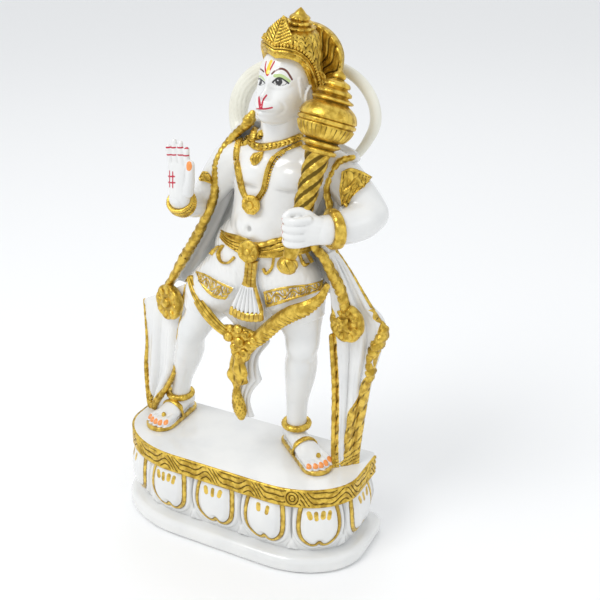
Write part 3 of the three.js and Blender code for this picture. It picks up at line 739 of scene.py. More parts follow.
class Book:
    """A material's nodes."""

    def __init__(self, name: str) -> None:
        """Makes an empty material of that name with a Principled shader.

        Args:
            name: its name.
        """
        self.material = bpy.data.materials.new(name)
        self.material.use_nodes = True
        self.tree = self.material.node_tree
        self.shader = self.tree.nodes["Principled BSDF"]
        self.place = self.node("ShaderNodeTexCoord", {}, {}, "Object")

    def node(self, kind: str, settings: dict, inputs: dict, output: str | int = 0) -> Socket:
        """Makes a node.

        Args:
            kind: its type.
            settings: its properties, set first.
            inputs: values or sockets, by input name or number.
            output: which output is wanted.

        Returns:
            That output.
        """
        made = self.tree.nodes.new(kind)
        for key, value in settings.items():
            setattr(made, key, value)
        for key, value in inputs.items():
            self.feed(made.inputs[key], value)
        return Socket(self, made.outputs[output])

    def feed(self, target: bpy.types.NodeSocket, value: Numbers) -> None:
        """Links a socket to an input, or sets a plain value on it.

        Args:
            target: the input.
            value: the socket or the plain value.
        """
        if isinstance(value, Socket):
            self.tree.links.new(value.link, target)
        else:
            target.default_value = value

    def noise(self, scale: float, detail: float = 3.0, stretch: Point = (1, 1, 1)) -> Socket:
        """A cloudy pattern of about 0 to 1 on the object, with scale as its spots a metre.

        Args:
            scale: spots a metre.
            detail: finer layers.
            stretch: a stretch along each axis.

        Returns:
            The pattern's socket.
        """
        place = self.node("ShaderNodeMapping", {}, {"Vector": self.place, "Scale": stretch})
        return self.node("ShaderNodeTexNoise", {}, {"Vector": place, "Scale": scale,
                                                    "Detail": detail}, "Fac")

    def mark(self, name: str) -> Socket:
        """A number that the mesh carries at each vertex."""
        return self.node("ShaderNodeAttribute", {"attribute_name": name}, {}, "Fac")

    def mixed(self, factor: Socket | float, one: Socket | Colour, two: Socket | Colour) -> Socket:
        """Two colours mixed by a factor."""
        return self.node("ShaderNodeMix", {"data_type": "RGBA"},
                         {0: factor, 6: one, 7: two}, 2)

    def bump(self, height: Socket, depth: float) -> Socket:
        """A fine relief of that depth in metres."""
        return self.node("ShaderNodeBump", {}, {"Height": height, "Distance": depth,
                                                "Strength": 1.0}, "Normal")

    def finish(self, **inputs: Socket | float | Colour) -> Finish:
        """Feeds the shader's inputs and gives the material.

        Args:
            inputs: values or sockets, with the inputs' names in small letters and low lines.

        Returns:
            The material.
        """
        for key, value in inputs.items():
            self.feed(self.shader.inputs[key.replace("_", " ").title()], value)
        return self.material


class Paint(Enum):
    """The plain paints."""

    RED = (0.50, 0.005, 0.035, 1)
    ORANGE = (0.86, 0.30, 0.07, 1)
    BLACK = (0.018, 0.016, 0.018, 1)
    BROWN = (0.13, 0.030, 0.016, 1)
    GREEN = (0.50, 0.64, 0.28, 1)
    YELLOW = (0.92, 0.62, 0.05, 1)
    GLINT = (0.75, 0.75, 0.77, 1)


@dataclass(frozen=True)
class GoldPaint:
    """Gold paint brushed over the cast carving, darkened in the recesses as painted shade."""

    bright: Colour = (0.80, 0.555, 0.095, 1)
    deep: Colour = (0.46, 0.285, 0.032, 1)
    # The dark colour of the painted shade in the recesses.
    recess: Colour = (0.16, 0.10, 0.012, 1)
    metallic: float = 0.8
    brush_scale: float = 700.0

    def colour(self, book: Book) -> Socket:
        """The paint's colour, from its brushing, with painted shade darkening the recesses.

        Args:
            book: the material's book.

        Returns:
            The colour's socket.
        """
        cloud = book.noise(230.0, 4.0).between(0.36, 0.62)
        plain = book.mixed(cloud, self.deep, self.bright)
        # Painted shade: the deeper the recess, the more the gold turns to the dark recess colour.
        gold_shade_in_recesses = (book.mark("cavity") + book.noise(self.brush_scale) * 0.06 - 0.03)
        return book.mixed(gold_shade_in_recesses.between(0.0, 0.26), plain, self.recess)

    def roughness(self, book: Book) -> Socket:
        """How dull the paint is: dull in the recesses, with streaks."""
        return book.noise(420.0, 2.0) * 0.22 + 0.2 + book.mark("cavity").between(0.0, 0.3) * 0.25

    def material(self) -> Finish:
        """The finish of a part that is gold all over.

        Returns:
            The gold finish.
        """
        book = Book("gold_paint")
        grain = book.noise(self.brush_scale, 3.0)
        return book.finish(base_color=self.colour(book), metallic=self.metallic,
                           roughness=self.roughness(book), normal=book.bump(grain, 0.0003))


@dataclass(frozen=True)
class CastWhite:
    """Polished white cast of powdered stone, with painted marks, greyed in its recesses as painted
    shade.
    """

    name: str
    base: Colour = (0.80, 0.80, 0.785, 1)
    cloud: Colour = (0.73, 0.735, 0.73, 1)
    # The grey of the painted shade in the recesses.
    recess: Colour = (0.40, 0.395, 0.38, 1)
    roughness: float = 0.16
    layers: tuple[tuple[str, Colour], ...] = ()
    gold: bool = True
    edge: float = 0.12
    wobble: float = 0.55

    def material(self) -> Finish:
        """The finish, with one layer of paint for each mark that the mesh carries.

        Returns:
            The finish.
        """
        book = Book(self.name)
        white = book.mixed(book.noise(38.0, 3.0).between(0.35, 0.75), self.base, self.cloud)
        # Painted shade: the deeper the recess, the more the white turns to the grey recess colour.
        white_shade_in_recesses = (book.mark("cavity") + book.noise(700.0) * 0.1 - 0.05).between(0.02, 0.5)
        colour = book.mixed(white_shade_in_recesses * 0.85, white, self.recess)
        gloss = book.noise(55.0, 2.0) * 0.14 + self.roughness - 0.05
        metal = 0.0
        for layer, paint in self.layers:
            mask = (book.mark(layer) + book.noise(1500.0) * 0.24 - 0.12).between(
                -self.edge, self.edge)
            colour = book.mixed(mask, colour, paint)
        if self.gold:
            paint = GoldPaint()
            ragged = book.noise(420.0, 2.0) * self.wobble - self.wobble / 2
            mask = (book.mark("gold") + ragged).between(-self.edge, self.edge)
            colour = book.mixed(mask, colour, paint.colour(book))
            gloss = gloss * (1 - mask) + paint.roughness(book) * mask
            metal = mask * paint.metallic
        grain = book.noise(260.0, 3.0)
        return book.finish(base_color=colour, metallic=metal, roughness=gloss,
                           coat_weight=0.35, coat_roughness=0.08,
                           normal=book.bump(grain, 0.00006))


# The plinth.

@dataclass
class Plinth:
    """The lotus plinth: slab, core, hanging petals and the gold band under the top."""

    width: float = 186.0
    depth: float = 70.6
    corner_x: float = 55.0
    corner_y: float = 38.0
    back_turn: float = 4.0
    slab: float = 13.0
    slab_spread: float = 5.5
    slab_rounding: float = 4.5
    band: float = 14.2
    core_inset: float = 8.0
    petal_pitch: float = 40.5
    petal_shift: float = -3.0
    petal_half: float = 14.6
    petal_foot: float = 20.5
    rim_width: float = 1.75
    leaf_length: float = 35.0

    def plan(self, grow: float, points: int = 14) -> list[tuple[float, float]]:
        """The outline from above, grown outwards, from the back left corner round the front.

        Args:
            grow: the outward growth.
            points: the places, or how many of them.

        Returns:
            The outline's corners, in millimetres.
        """
        x, y = self.width / 2 + grow, self.depth / 2 + grow
        a, b = self.corner_x + grow, self.corner_y + grow
        turn = max(self.back_turn + grow, 1.0)
        quarter = np.linspace(0, pi / 2, points)
        arcs = [(-x + turn, y - turn, turn, turn, pi / 2),
                (-x + a, -y + b, a, b, pi),
                (x - a, -y + b, a, b, 1.5 * pi),
                (x - turn, y - turn, turn, turn, 0.0)]
        return [(cx + rx * math.cos(start + q), cy + ry * math.sin(start + q))
                for cx, cy, rx, ry, start in arcs for q in quarter]

    def face_path(self) -> tuple[Array, Array]:
        """The carved face seen from above: points along it and their distances, 0 in front.

        Returns:
            The points and their distances.
        """
        x, y = self.width / 2, self.depth / 2
        rows = [(-x, y - self.back_turn)]
        quarter = np.linspace(0, pi / 2, 60)
        for cx, start in ((-x + self.corner_x, pi), (x - self.corner_x, 1.5 * pi)):
            rows += [(cx + self.corner_x * math.cos(start + q),
                      -y + self.corner_y + self.corner_y * math.sin(start + q)) for q in quarter]
        rows.append((x, y - self.back_turn))
        path = np.array(rows)
        run = np.insert(np.linalg.norm(np.diff(path, axis=0), axis=1).cumsum(), 0, 0)
        return path, run - run[-1] / 2

    def on_face(self, along: Numbers, out: Numbers, height: Numbers) -> Array:
        """Points standing out from the carved face.

        Args:
            along: places along it.
            out: how far out.
            height: heights, in millimetres.

        Returns:
            The places as rows, in millimetres.
        """
        path, run = self.face_path()
        along = np.clip(along, run[0], run[-1])
        foot = np.stack([np.interp(along, run, path[:, k]) for k in (0, 1)], axis=1)
        reach = 2.0
        ahead = [np.interp(np.minimum(along + reach, run[-1]), run, path[:, k]) for k in (0, 1)]
        behind = [np.interp(np.maximum(along - reach, run[0]), run, path[:, k]) for k in (0, 1)]
        way = unit_rows(np.stack([a - b for a, b in zip(ahead, behind)], axis=1))
        spot = foot + np.stack([way[:, 1], -way[:, 0]], axis=1) * np.asarray(out).reshape(-1, 1)
        return np.column_stack([spot, np.broadcast_to(height, len(spot))])

    def half_length(self) -> float:
        """Half the carved face's length."""
        return float(self.face_path()[1][-1])

    def petal_edge(self) -> Array:
        """One petal's gold edge: across and up, open at the top, with a notch at the foot.

        Returns:
            The edge's points, in millimetres.
        """
        w, foot, top = self.petal_half, self.petal_foot, STAND - self.band
        half = [(w * 0.86, top + 1), (w * 0.98, top - 8), (w, top - 19), (w * 0.86, foot + 7),
                (w * 0.52, foot + 1.2), (w * 0.2, foot + 0.4), (0, foot + 3.4)]
        line = Line(half).get(np.linspace(0, 1, 40))
        return np.vstack([line, (line * (-1, 1))[::-1][1:]])

    def petal_drops(self, place: int) -> list[Array]:
        """The painted drops at the top of a petal, as short strokes across and up.

        Args:
            place: the place it has.

        Returns:
            The strokes.
        """
        top = STAND - self.band
        sets = {0: (-5.6, -0.4, 5.0), 1: (-3.2, 3.2), 2: (-6.4, -2.2, 2.2, 6.2)}
        return [np.array([(x * 1.15, top - 4.6), (x, top - 7.6 - 1.1 * (k % 2))])
                for k, x in enumerate(sets[place % 3])]

    def petal_fields(self, along: Numbers, height: Numbers) -> tuple[Array, Array]:
        """How far the petals stand out and how deep the gold marks lie inside their edges.

        Args:
            along: distances along the carved face.
            height: heights over the floor.

        Returns:
            The outward relief and the marks' depths, in millimetres.
        """
        places = np.round((along - self.petal_shift) / self.petal_pitch)
        across = along - self.petal_shift - places * self.petal_pitch
        points = np.column_stack([across, height])
        edge = self.petal_edge()
        distance = path_distance(points, edge)
        inner = inside_path(points, edge)
        signed = np.where(inner, distance, -distance)
        top = STAND - self.band
        level = (height - self.slab) / (top - self.slab)
        wall = 6.5 * np.sin(pi * (0.14 + 0.76 * (1 - level))) - self.core_inset
        bulge = 2.6 * smoothstep(0.4, 6.0, signed) + 0.9 * swell(signed, 0.9)
        lip = 1.7 * smoothstep(-5.4, -3.4, signed) - 0.7 * swell(signed + 2.0, 0.9)
        side = np.abs(across) / (self.petal_pitch / 2)
        groove = -2.2 * smoothstep(0.93, 1.0, side) * (1 - swell(level - 0.12, 0.2))
        tip_width = np.clip(0.30 - 0.95 * level, 0.0, 1.0)
        tip = 1.5 * smoothstep(0.0, 0.1, side - 1 + tip_width) * smoothstep(-0.02, 0.05, level)
        out = wall + bulge + lip + groove + tip
        marks = self.rim_width - np.abs(signed)
        marks = np.where(height > top + 0.5, UNMARKED, marks)
        for place in range(3):
            here = places % 3 == place
            for number, drop in enumerate(self.petal_drops(place)):
                depth = 1.75 - 0.3 * (number % 2) - path_distance(points[here], drop)
                marks[here] = np.maximum(marks[here], depth)
                out[here] += 0.35 * smoothstep(-0.6, 0.6, depth)
        return out, marks

    def band_relief(self, along: Numbers, height: Numbers) -> Array:
        """Curling leaves either side of a waving stem, and plain rims.

        Args:
            along: places along it.
            height: heights, in millimetres.

        Returns:
            How far the face stands out there.
        """
        foot = STAND - self.band
        level = (height - foot) / self.band
        wave = 2 * pi * along / self.leaf_length
        flow = 3.0 * level + 1.1 * np.sin(wave) + 0.4 * np.sin(2 * wave + 1.0) + along / 17.0
        strand = ridged(flow, 0.6)
        hook = ridged(along / 5.2 + 2.2 * (level - 0.5 - 0.25 * np.sin(wave)) ** 2, 0.7)
        inside = smoothstep(0.1, 0.35, np.abs(level - 0.5 - 0.25 * np.sin(wave)))
        curl = np.hypot((np.mod(along, self.leaf_length) - 24.0) / 5.0, (level - 0.5) * 2.2)
        rings = ridged(2.4 * curl, 0.7)
        single = np.abs(along - 1.5 * self.leaf_length) < self.leaf_length / 2
        spot = smoothstep(1.2, 1.0, curl) * single
        body = (0.8 * strand + 0.3 * hook * inside) * (1 - spot) + rings * spot
        rims = smoothstep(0.1, 0.04, level) + smoothstep(0.9, 0.96, level)
        return 1.5 * body * (1 - np.clip(rims, 0, 1)) + 1.2 * rims - 0.5

    def build(self, white: Finish, gold: Finish) -> None:
        """Makes the plinth's pieces.

        Args:
            white: the painted white.
            gold: the gold finish.
        """
        half = self.half_length()
        top = STAND - self.band
        bm = bmesh.new()
        self.add_layer(bm, self.slab_spread, 0, self.slab, self.slab_rounding)
        self.add_layer(bm, -self.core_inset, self.slab - 1, top + 1, 0)
        self.add_layer(bm, -0.9, top, STAND, 0.35)
        finished("plinth_slab_and_core", bm, white, ("plinth",))
        bm = bmesh.new()
        low, high = self.slab - 1.0, top + 0.5

        def wall(u: Array, v: Array) -> Array:
            """Points on the carved face behind the petals."""
            return self.on_face((2 * u - 1) * half, 0 * u, high + (low - high) * v)

        fields = {}

        def field(u: Array, v: Array, part: int) -> Array:
            """The petals' relief or their gold marks, worked out once for each set of places.

            Args:
                u: shares across, 0 to 1.
                v: shares down, 0 to 1.
                part: which of the two.

            Returns:
                The wanted one of the two, for each place.
            """
            key = len(u)
            if key not in fields:
                fields[key] = self.petal_fields((2 * u - 1) * half, high + (low - high) * v)
            return fields[key][part]

        add_sheet(bm, wall, 560, 70, self.core_inset + 2, lambda u, v: field(u, v, 0),
                  lambda u, v: field(u, v, 1))
        finished("plinth_petals", bm, white)
        bm = bmesh.new()

        def rail(u: Array, v: Array) -> Array:
            """Points on the face under the band."""
            return self.on_face((2 * u - 1) * half, 0 * u, STAND - 0.25 + (top - STAND + 0.2) * v)

        add_sheet(bm, rail, 900, 34, 2.0, lambda u, v: self.band_relief(
            (2 * u - 1) * half, STAND + (top - STAND) * v))
        finished("plinth_band", bm, gold)

    def add_layer(self, bm: Mesh, grow: float, low: float, high: float,
                  rounding: float) -> None:
        """Adds one layer of the plan, with its upper and lower edges rounded.

        Args:
            bm: the mesh that takes it.
            grow: the outward growth.
            low: its underside.
            high: its top.
            rounding: the radius of its edges.
        """
        outline = [bm.verts.new((x, y, low)) for x, y in self.plan(grow)]
        face = bm.faces.new(outline)
        lifted = bmesh.ops.extrude_face_region(bm, geom=[face])["geom"]
        upper = [item for item in lifted if isinstance(item, bmesh.types.BMVert)]
        bmesh.ops.translate(bm, verts=upper, vec=(0, 0, high - low))
        if rounding:
            both = set(outline) | set(upper)
            rims = [e for e in bm.edges if e.verts[0] in both
                    and abs(e.verts[0].co.z - e.verts[1].co.z) < 1e-6]
            bmesh.ops.bevel(bm, geom=rims, offset=rounding, segments=6, profile=0.5,
                            affect="EDGES", material=-1)


# The body's skin.

@dataclass
class Body:
    """The bare skin: trunk, neck, arms, hands and legs, cast in one."""

    voxel: float = 1.35
    passes: int = 7
    hand_voxel: float = 0.66
    hand_passes: int = 3
    finger_tips: tuple[float, ...] = (73.8, 75.0, 74.8, 73.7)
    knuckle_shifts: tuple[float, ...] = (0.0, 0.35, 0.25, -0.3)

    def trunk(self, bm: Mesh) -> None:
        """Adds the trunk and the neck.

        Args:
            bm: the mesh that takes it.
        """
        add_limb(bm, [(4.6, 1.3, 42.5, 8.0, 6.2), (5.6, 1.3, 47.5, 10.4, 7.0),
                      (7.4, 1.1, 52.0, 9.5, 6.5), (8.2, 0.6, 56.5, 8.7, 6.2),
                      (8.9, 0.9, 60.5, 9.0, 6.1), (9.9, 1.2, 65.0, 10.0, 6.0),
                      (10.8, 1.4, 69.2, 10.6, 5.8), (11.3, 1.5, 72.3, 8.0, 4.3)], sides=40)
        add_limb(bm, [(10.9, 1.4, 71.5, 5.2, 4.5), (11.0, 0.8, 75.0, 4.4, 4.2),
                      (11.7, 0.4, 81.0, 4.6, 4.7)])
        for side, lean in ((6.6, 1.0), (14.6, -1.0)):
            add_ball(bm, at(side + 0.1 * lean, -1.9, 67.8), (15.2, 10.2, 10.4))
            add_ball(bm, at(side + 3.6 * (1 if lean < 0 else -1), 0.8, 70.6), (10.5, 10.0, 8.6))
        add_ball(bm, at(7.9, -1.6, 56.6), (20.0, 15.5, 17.5))

    def arms(self, bm: Mesh) -> None:
        """Adds the raised right arm and the bent left one.

        Args:
            bm: the mesh that takes it.
        """
        add_limb(bm, [(3.5, 1.5, 69.8, 4.0), (-0.6, 1.5, 68.4, 4.25), (-3.4, 1.2, 65.2, 4.0),
                      (-6.0, 0.9, 61.6, 3.5), (-8.2, 0.5, 58.6, 3.05)], wide_axis=(0, 1, 0))
        add_limb(bm, [(-8.2, 0.7, 58.4, 3.1), (-8.3, -2.4, 58.9, 3.1), (-8.1, -5.4, 59.8, 2.7),
                      (-7.9, -7.6, 60.9, 2.25), (-7.7, -8.8, 62.0, 2.2)])
        add_limb(bm, [(18.5, 1.6, 70.2, 4.1), (22.4, 1.8, 68.8, 4.3), (25.4, 1.7, 66.4, 4.15),
                      (28.2, 1.7, 63.8, 3.8), (30.2, 1.6, 61.8, 3.5)], wide_axis=(0, 1, 0))
        add_limb(bm, [(30.4, 1.4, 61.5, 3.5), (29.4, -1.4, 60.9, 3.75), (27.6, -4.6, 60.5, 3.5),
                      (25.6, -7.4, 60.5, 3.0), (24.4, -8.8, 60.6, 2.9)], wide_axis=(0, 0, 1))

    def raised_hand(self, bm: Mesh) -> None:
        """Adds the palm with four fingers side by side and the thumb.

        Args:
            bm: the mesh that takes it.
        """
        add_limb(bm, [(-7.7, -8.4, 61.0, 2.1, 1.8), (-7.4, -9.0, 62.4, 2.3, 1.7),
                      (-7.0, -9.3, 64.8, 2.75, 1.5), (-6.6, -9.7, 67.8, 2.75, 1.2),
                      (-6.4, -10.0, 69.6, 2.6, 0.95)], caps=6)
        add_ball(bm, at(-5.1, -9.7, 65.0), (3.4, 3.2, 6.0))
        add_ball(bm, at(-8.5, -9.6, 64.6), (2.6, 3.0, 6.4))
        for finger, tip in enumerate(self.finger_tips):
            x = -8.3 + 1.3 * finger
            fan = 0.18 * (finger - 1.5)
            add_limb(bm, [(x + 0.1, -9.9, 67.8, 0.70), (x + 0.1, -10.3, 70.5, 0.69),
                          (x + 0.15 + fan * 0.3, -10.6, 72.6, 0.66),
                          (x + 0.2 + fan, -10.65, tip - 0.5, 0.56)], sides=18)
        add_limb(bm, [(-5.0, -9.5, 63.9, 1.2), (-4.1, -10.1, 66.3, 1.05),
                      (-3.6, -10.5, 68.6, 0.95), (-3.3, -10.6, 70.2, 0.85)], sides=18)

    def gripping_hand(self, bm: Mesh) -> None:
        """Adds the fist round the mace: the back of the hand, four fingers and the thumb.

        Args:
            bm: the mesh that takes it.
        """
        add_limb(bm, [(25.6, -7.4, 60.5, 2.8, 2.5), (24.6, -8.8, 60.6, 2.75, 2.4),
                      (23.4, -10.2, 60.9, 3.0, 2.3), (22.4, -11.5, 61.1, 3.1, 1.9)],
                 wide_axis=(0, 0, 1))
        for finger, shift in enumerate(self.knuckle_shifts):
            z = 63.4 - 1.5 * finger
            add_limb(bm, [(23.3 + 0.4 * shift, -11.8, z + 0.1, 0.8),
                          (21.7, -13.5 - 0.3 * shift, z, 0.84),
                          (19.8 - 0.4 * shift, -13.6, z - 0.15, 0.82),
                          (18.5 - 0.3 * shift, -12.2, z - 0.25, 0.78),
                          (18.6, -10.6, z - 0.3, 0.74)], sides=20, wide_axis=(0, 0, 1))
        add_ball(bm, at(20.8, -11.8, 61.2), (6.2, 4.6, 8.8))
        add_limb(bm, [(22.8, -9.4, 62.9, 1.15), (21.3, -10.6, 64.3, 1.0),
                      (19.8, -11.9, 64.4, 0.9), (19.0, -12.8, 63.9, 0.78)], sides=18)

    def legs(self, bm: Mesh) -> None:
        """Adds both legs below the cloth.

        Args:
            bm: the mesh that takes it.
        """
        add_limb(bm, [(-5.6, 0.1, 38.4, 5.4, 5.8), (-7.6, -0.4, 34.6, 4.7, 5.1),
                      (-9.4, -0.9, 31.0, 3.7, 4.0), (-11.0, -1.1, 28.4, 3.5, 3.75),
                      (-12.4, -0.3, 25.4, 3.2, 3.4), (-14.3, 1.7, 21.4, 3.45, 3.65),
                      (-16.2, 3.2, 17.6, 3.3, 3.45), (-18.0, 4.4, 13.6, 2.75, 2.85),
                      (-19.4, 5.2, 10.2, 2.4, 2.5), (-20.5, 5.9, 6.4, 2.35, 2.4),
                      (-20.6, 6.2, 3.2, 2.4, 2.5)], sides=32)
        add_limb(bm, [(14.4, 0.4, 39.4, 5.8, 6.2), (15.4, 0.1, 36.0, 4.9, 5.3),
                      (16.1, -0.3, 33.0, 3.9, 4.1), (16.2, -0.5, 30.8, 3.7, 3.85),
                      (15.6, 0.4, 28.0, 3.35, 3.55), (14.9, 1.5, 24.8, 3.6, 3.8),
                      (14.1, 2.6, 21.2, 3.5, 3.65), (13.2, 3.6, 17.0, 3.0, 3.15),
                      (12.4, 4.4, 13.0, 2.55, 2.65), (11.8, 5.3, 7.4, 2.35, 2.4),
                      (11.5, 5.8, 3.4, 2.4, 2.5)], sides=32)

    def core(self) -> BVHTree:
        """The trunk and the legs as a tree, to lay trims on that pass behind an arm.

        Returns:
            The tree.
        """
        bm = bmesh.new()
        self.trunk(bm)
        self.legs(bm)
        tree = BVHTree.FromBMesh(bm)
        bm.free()
        return tree

    def carve(self, co: Array) -> Array:
        """How far the skin stands out at places in millimetres: the softer forms of the body.

        Args:
            co: places as rows, in millimetres.

        Returns:
            How far the face stands out there.
        """
        x, y, z = (co / SHARE - (0, 0, STAND / SHARE)).T
        front = smoothstep(0.6, -1.2, y) * smoothstep(48, 54, z)
        middle = 7.6 + (z - 56) * 0.215
        crease_left = swell(z - (65.3 + 0.05 * (x - 14.6) ** 2), 0.55) * swell(x - 14.9, 3.6)
        crease_right = swell(z - (65.3 + 0.05 * (x - 6.8) ** 2), 0.55) * swell(x - 6.6, 3.4)
        breastbone = swell(x - middle, 0.8) * swell(z - 67.5, 3.4)
        belly_line = swell(x - middle, 0.7) * swell(z - 61.5, 3.4)
        navel = swell(np.hypot(x - 6.9, (z - 57.0) * 0.8), 0.75)
        navel_rim = swell(np.hypot(x - 6.9, z - 57.0) - 1.25, 0.5)
        fold = swell(z - 54.6 + 0.03 * (x - 7) ** 2, 0.5) * swell(x - 7, 6)
        back = smoothstep(2.0, 5.0, y) * swell(x - middle - 1.2, 0.9) * swell(z - 62, 9)
        out = front * (-0.8 * crease_left - 0.8 * crease_right - 0.9 * breastbone
                       - 0.35 * belly_line - 2.3 * navel + 0.35 * navel_rim - 0.5 * fold)
        return out - 0.8 * back

    def build(self, material: Finish) -> BVHTree:
        """Makes the skin.

        Args:
            material: its finish.

        Returns:
            The skin as a tree to lay other pieces on.
        """
        bm = bmesh.new()
        self.trunk(bm)
        self.arms(bm)
        self.legs(bm)
        skin = remeshed(bm, self.voxel, self.passes)
        co, normals = arrays_of(skin)
        placed(skin.verts, co + normals * self.carve(co)[:, None])
        self.paint(skin)
        tree = BVHTree.FromBMesh(skin)
        finished("figure_skin", skin, material, ("figure",))
        hands = bmesh.new()
        self.raised_hand(hands)
        self.gripping_hand(hands)
        hands = remeshed(hands, self.hand_voxel, self.hand_passes)
        self.paint(hands)
        finished("hands", hands, material)
        return tree

    def paint(self, skin: Mesh) -> None:
        """Marks the red strokes on the palm, the orange thumb tip and the red line on the fist.

        Args:
            skin: the remeshed form.
        """
        co, normals = arrays_of(skin)
        shares = co / SHARE - (0, 0, STAND / SHARE)
        palm = (shares[:, 1] < -9.6) & (normals[:, 1] < 0.1) & (shares[:, 0] < -2)
        strokes = []
        for z in (73.4, 71.9):
            strokes.append([(-9.0, z - 0.35), (-6.4, z - 0.05)])
            strokes.append([(-5.9, z + 0.05), (-3.4, z + 0.15)])
        for k in (0, 1):
            strokes.append([(-9.2, 66.9 - 1.3 * k), (-7.1, 67.3 - 1.3 * k)])
            strokes.append([(-8.4 + 0.9 * k, 68.2), (-8.7 + 0.9 * k, 64.8)])
        depth = np.full(len(co), UNMARKED)
        flat = shares[palm][:, (0, 2)] * SHARE
        red = np.full(len(flat), UNMARKED)
        for stroke in strokes:
            red = np.maximum(red, 0.5 - path_distance(flat, np.array(stroke) * SHARE))
        depth[palm] = red
        edge = np.linalg.norm((shares - (18.1, -12.7, 0)) * (1, 1, 0), axis=1)
        fist = (np.abs(shares[:, 2] - 60.9) < 2.8) & (edge < 1.1)
        facing = normals[fist] @ np.array((0.47, -0.88, 0.0))
        depth[fist] = 0.4 - 2.6 * np.abs(facing - 0.36)
        marked(skin, "red", depth)
        thumb = np.linalg.norm((shares - (-3.3, -11.3, 70.1)) * (1.2, 1, 0.8), axis=1) * SHARE
        marked(skin, "orange", 2.5 - thumb)


# The head.

# The painted face: the layer, half the stroke's width in millimetres and its picture points.
FACE_LINES = (
    ("brown", 0.62, ((271.9, 73.7), (275.5, 70.8), (281.5, 68.7), (287.0, 71.6), (292.0, 79.4))),
    ("brown", 0.5, ((263.8, 71.8), (261.6, 69.8), (259.8, 68.9))),
    ("green", 1.0, ((274.8, 75.8), (281.6, 76.0), (289.0, 81.0))),
    ("green", 0.7, ((258.4, 76.0), (261.4, 76.8), (264.6, 79.8))),
    ("black", 0.55, ((272.6, 82.2), (277.6, 78.2), (282.6, 79.0), (288.6, 83.2))),
    ("black", 0.2, ((272.8, 82.4), (276.0, 84.8), (280.0, 85.6), (284.4, 84.8), (287.8, 83.0))),
    ("black", 0.42, ((257.4, 79.2), (260.4, 79.0), (265.2, 83.2))),
    ("black", 0.2, ((258.0, 84.4), (261.0, 85.4), (265.0, 83.4))),
    ("black", 2.15, ((278.8, 81.6),)),
    ("black", 1.75, ((260.6, 82.0),)),
    ("glint", 0.5, ((277.8, 80.4),)),
    ("glint", 0.4, ((260.0, 81.0),)),
    ("yellow", 1.15, ((271.0, 61.4), (268.6, 67.6), (267.7, 72.4))),
    ("red", 0.5, ((266.2, 61.6), (265.2, 68.0), (267.2, 75.4), (270.4, 69.0), (274.4, 61.6))),
    ("red", 0.75, ((259.0, 97.0), (259.4, 102.5), (260.2, 108.4))),
    ("red", 0.5, ((266.6, 95.2), (263.0, 100.5), (261.6, 108.2))),
    ("red", 0.5, ((255.8, 108.6), (260.4, 109.0), (266.0, 108.8), (272.2, 107.6))),
)


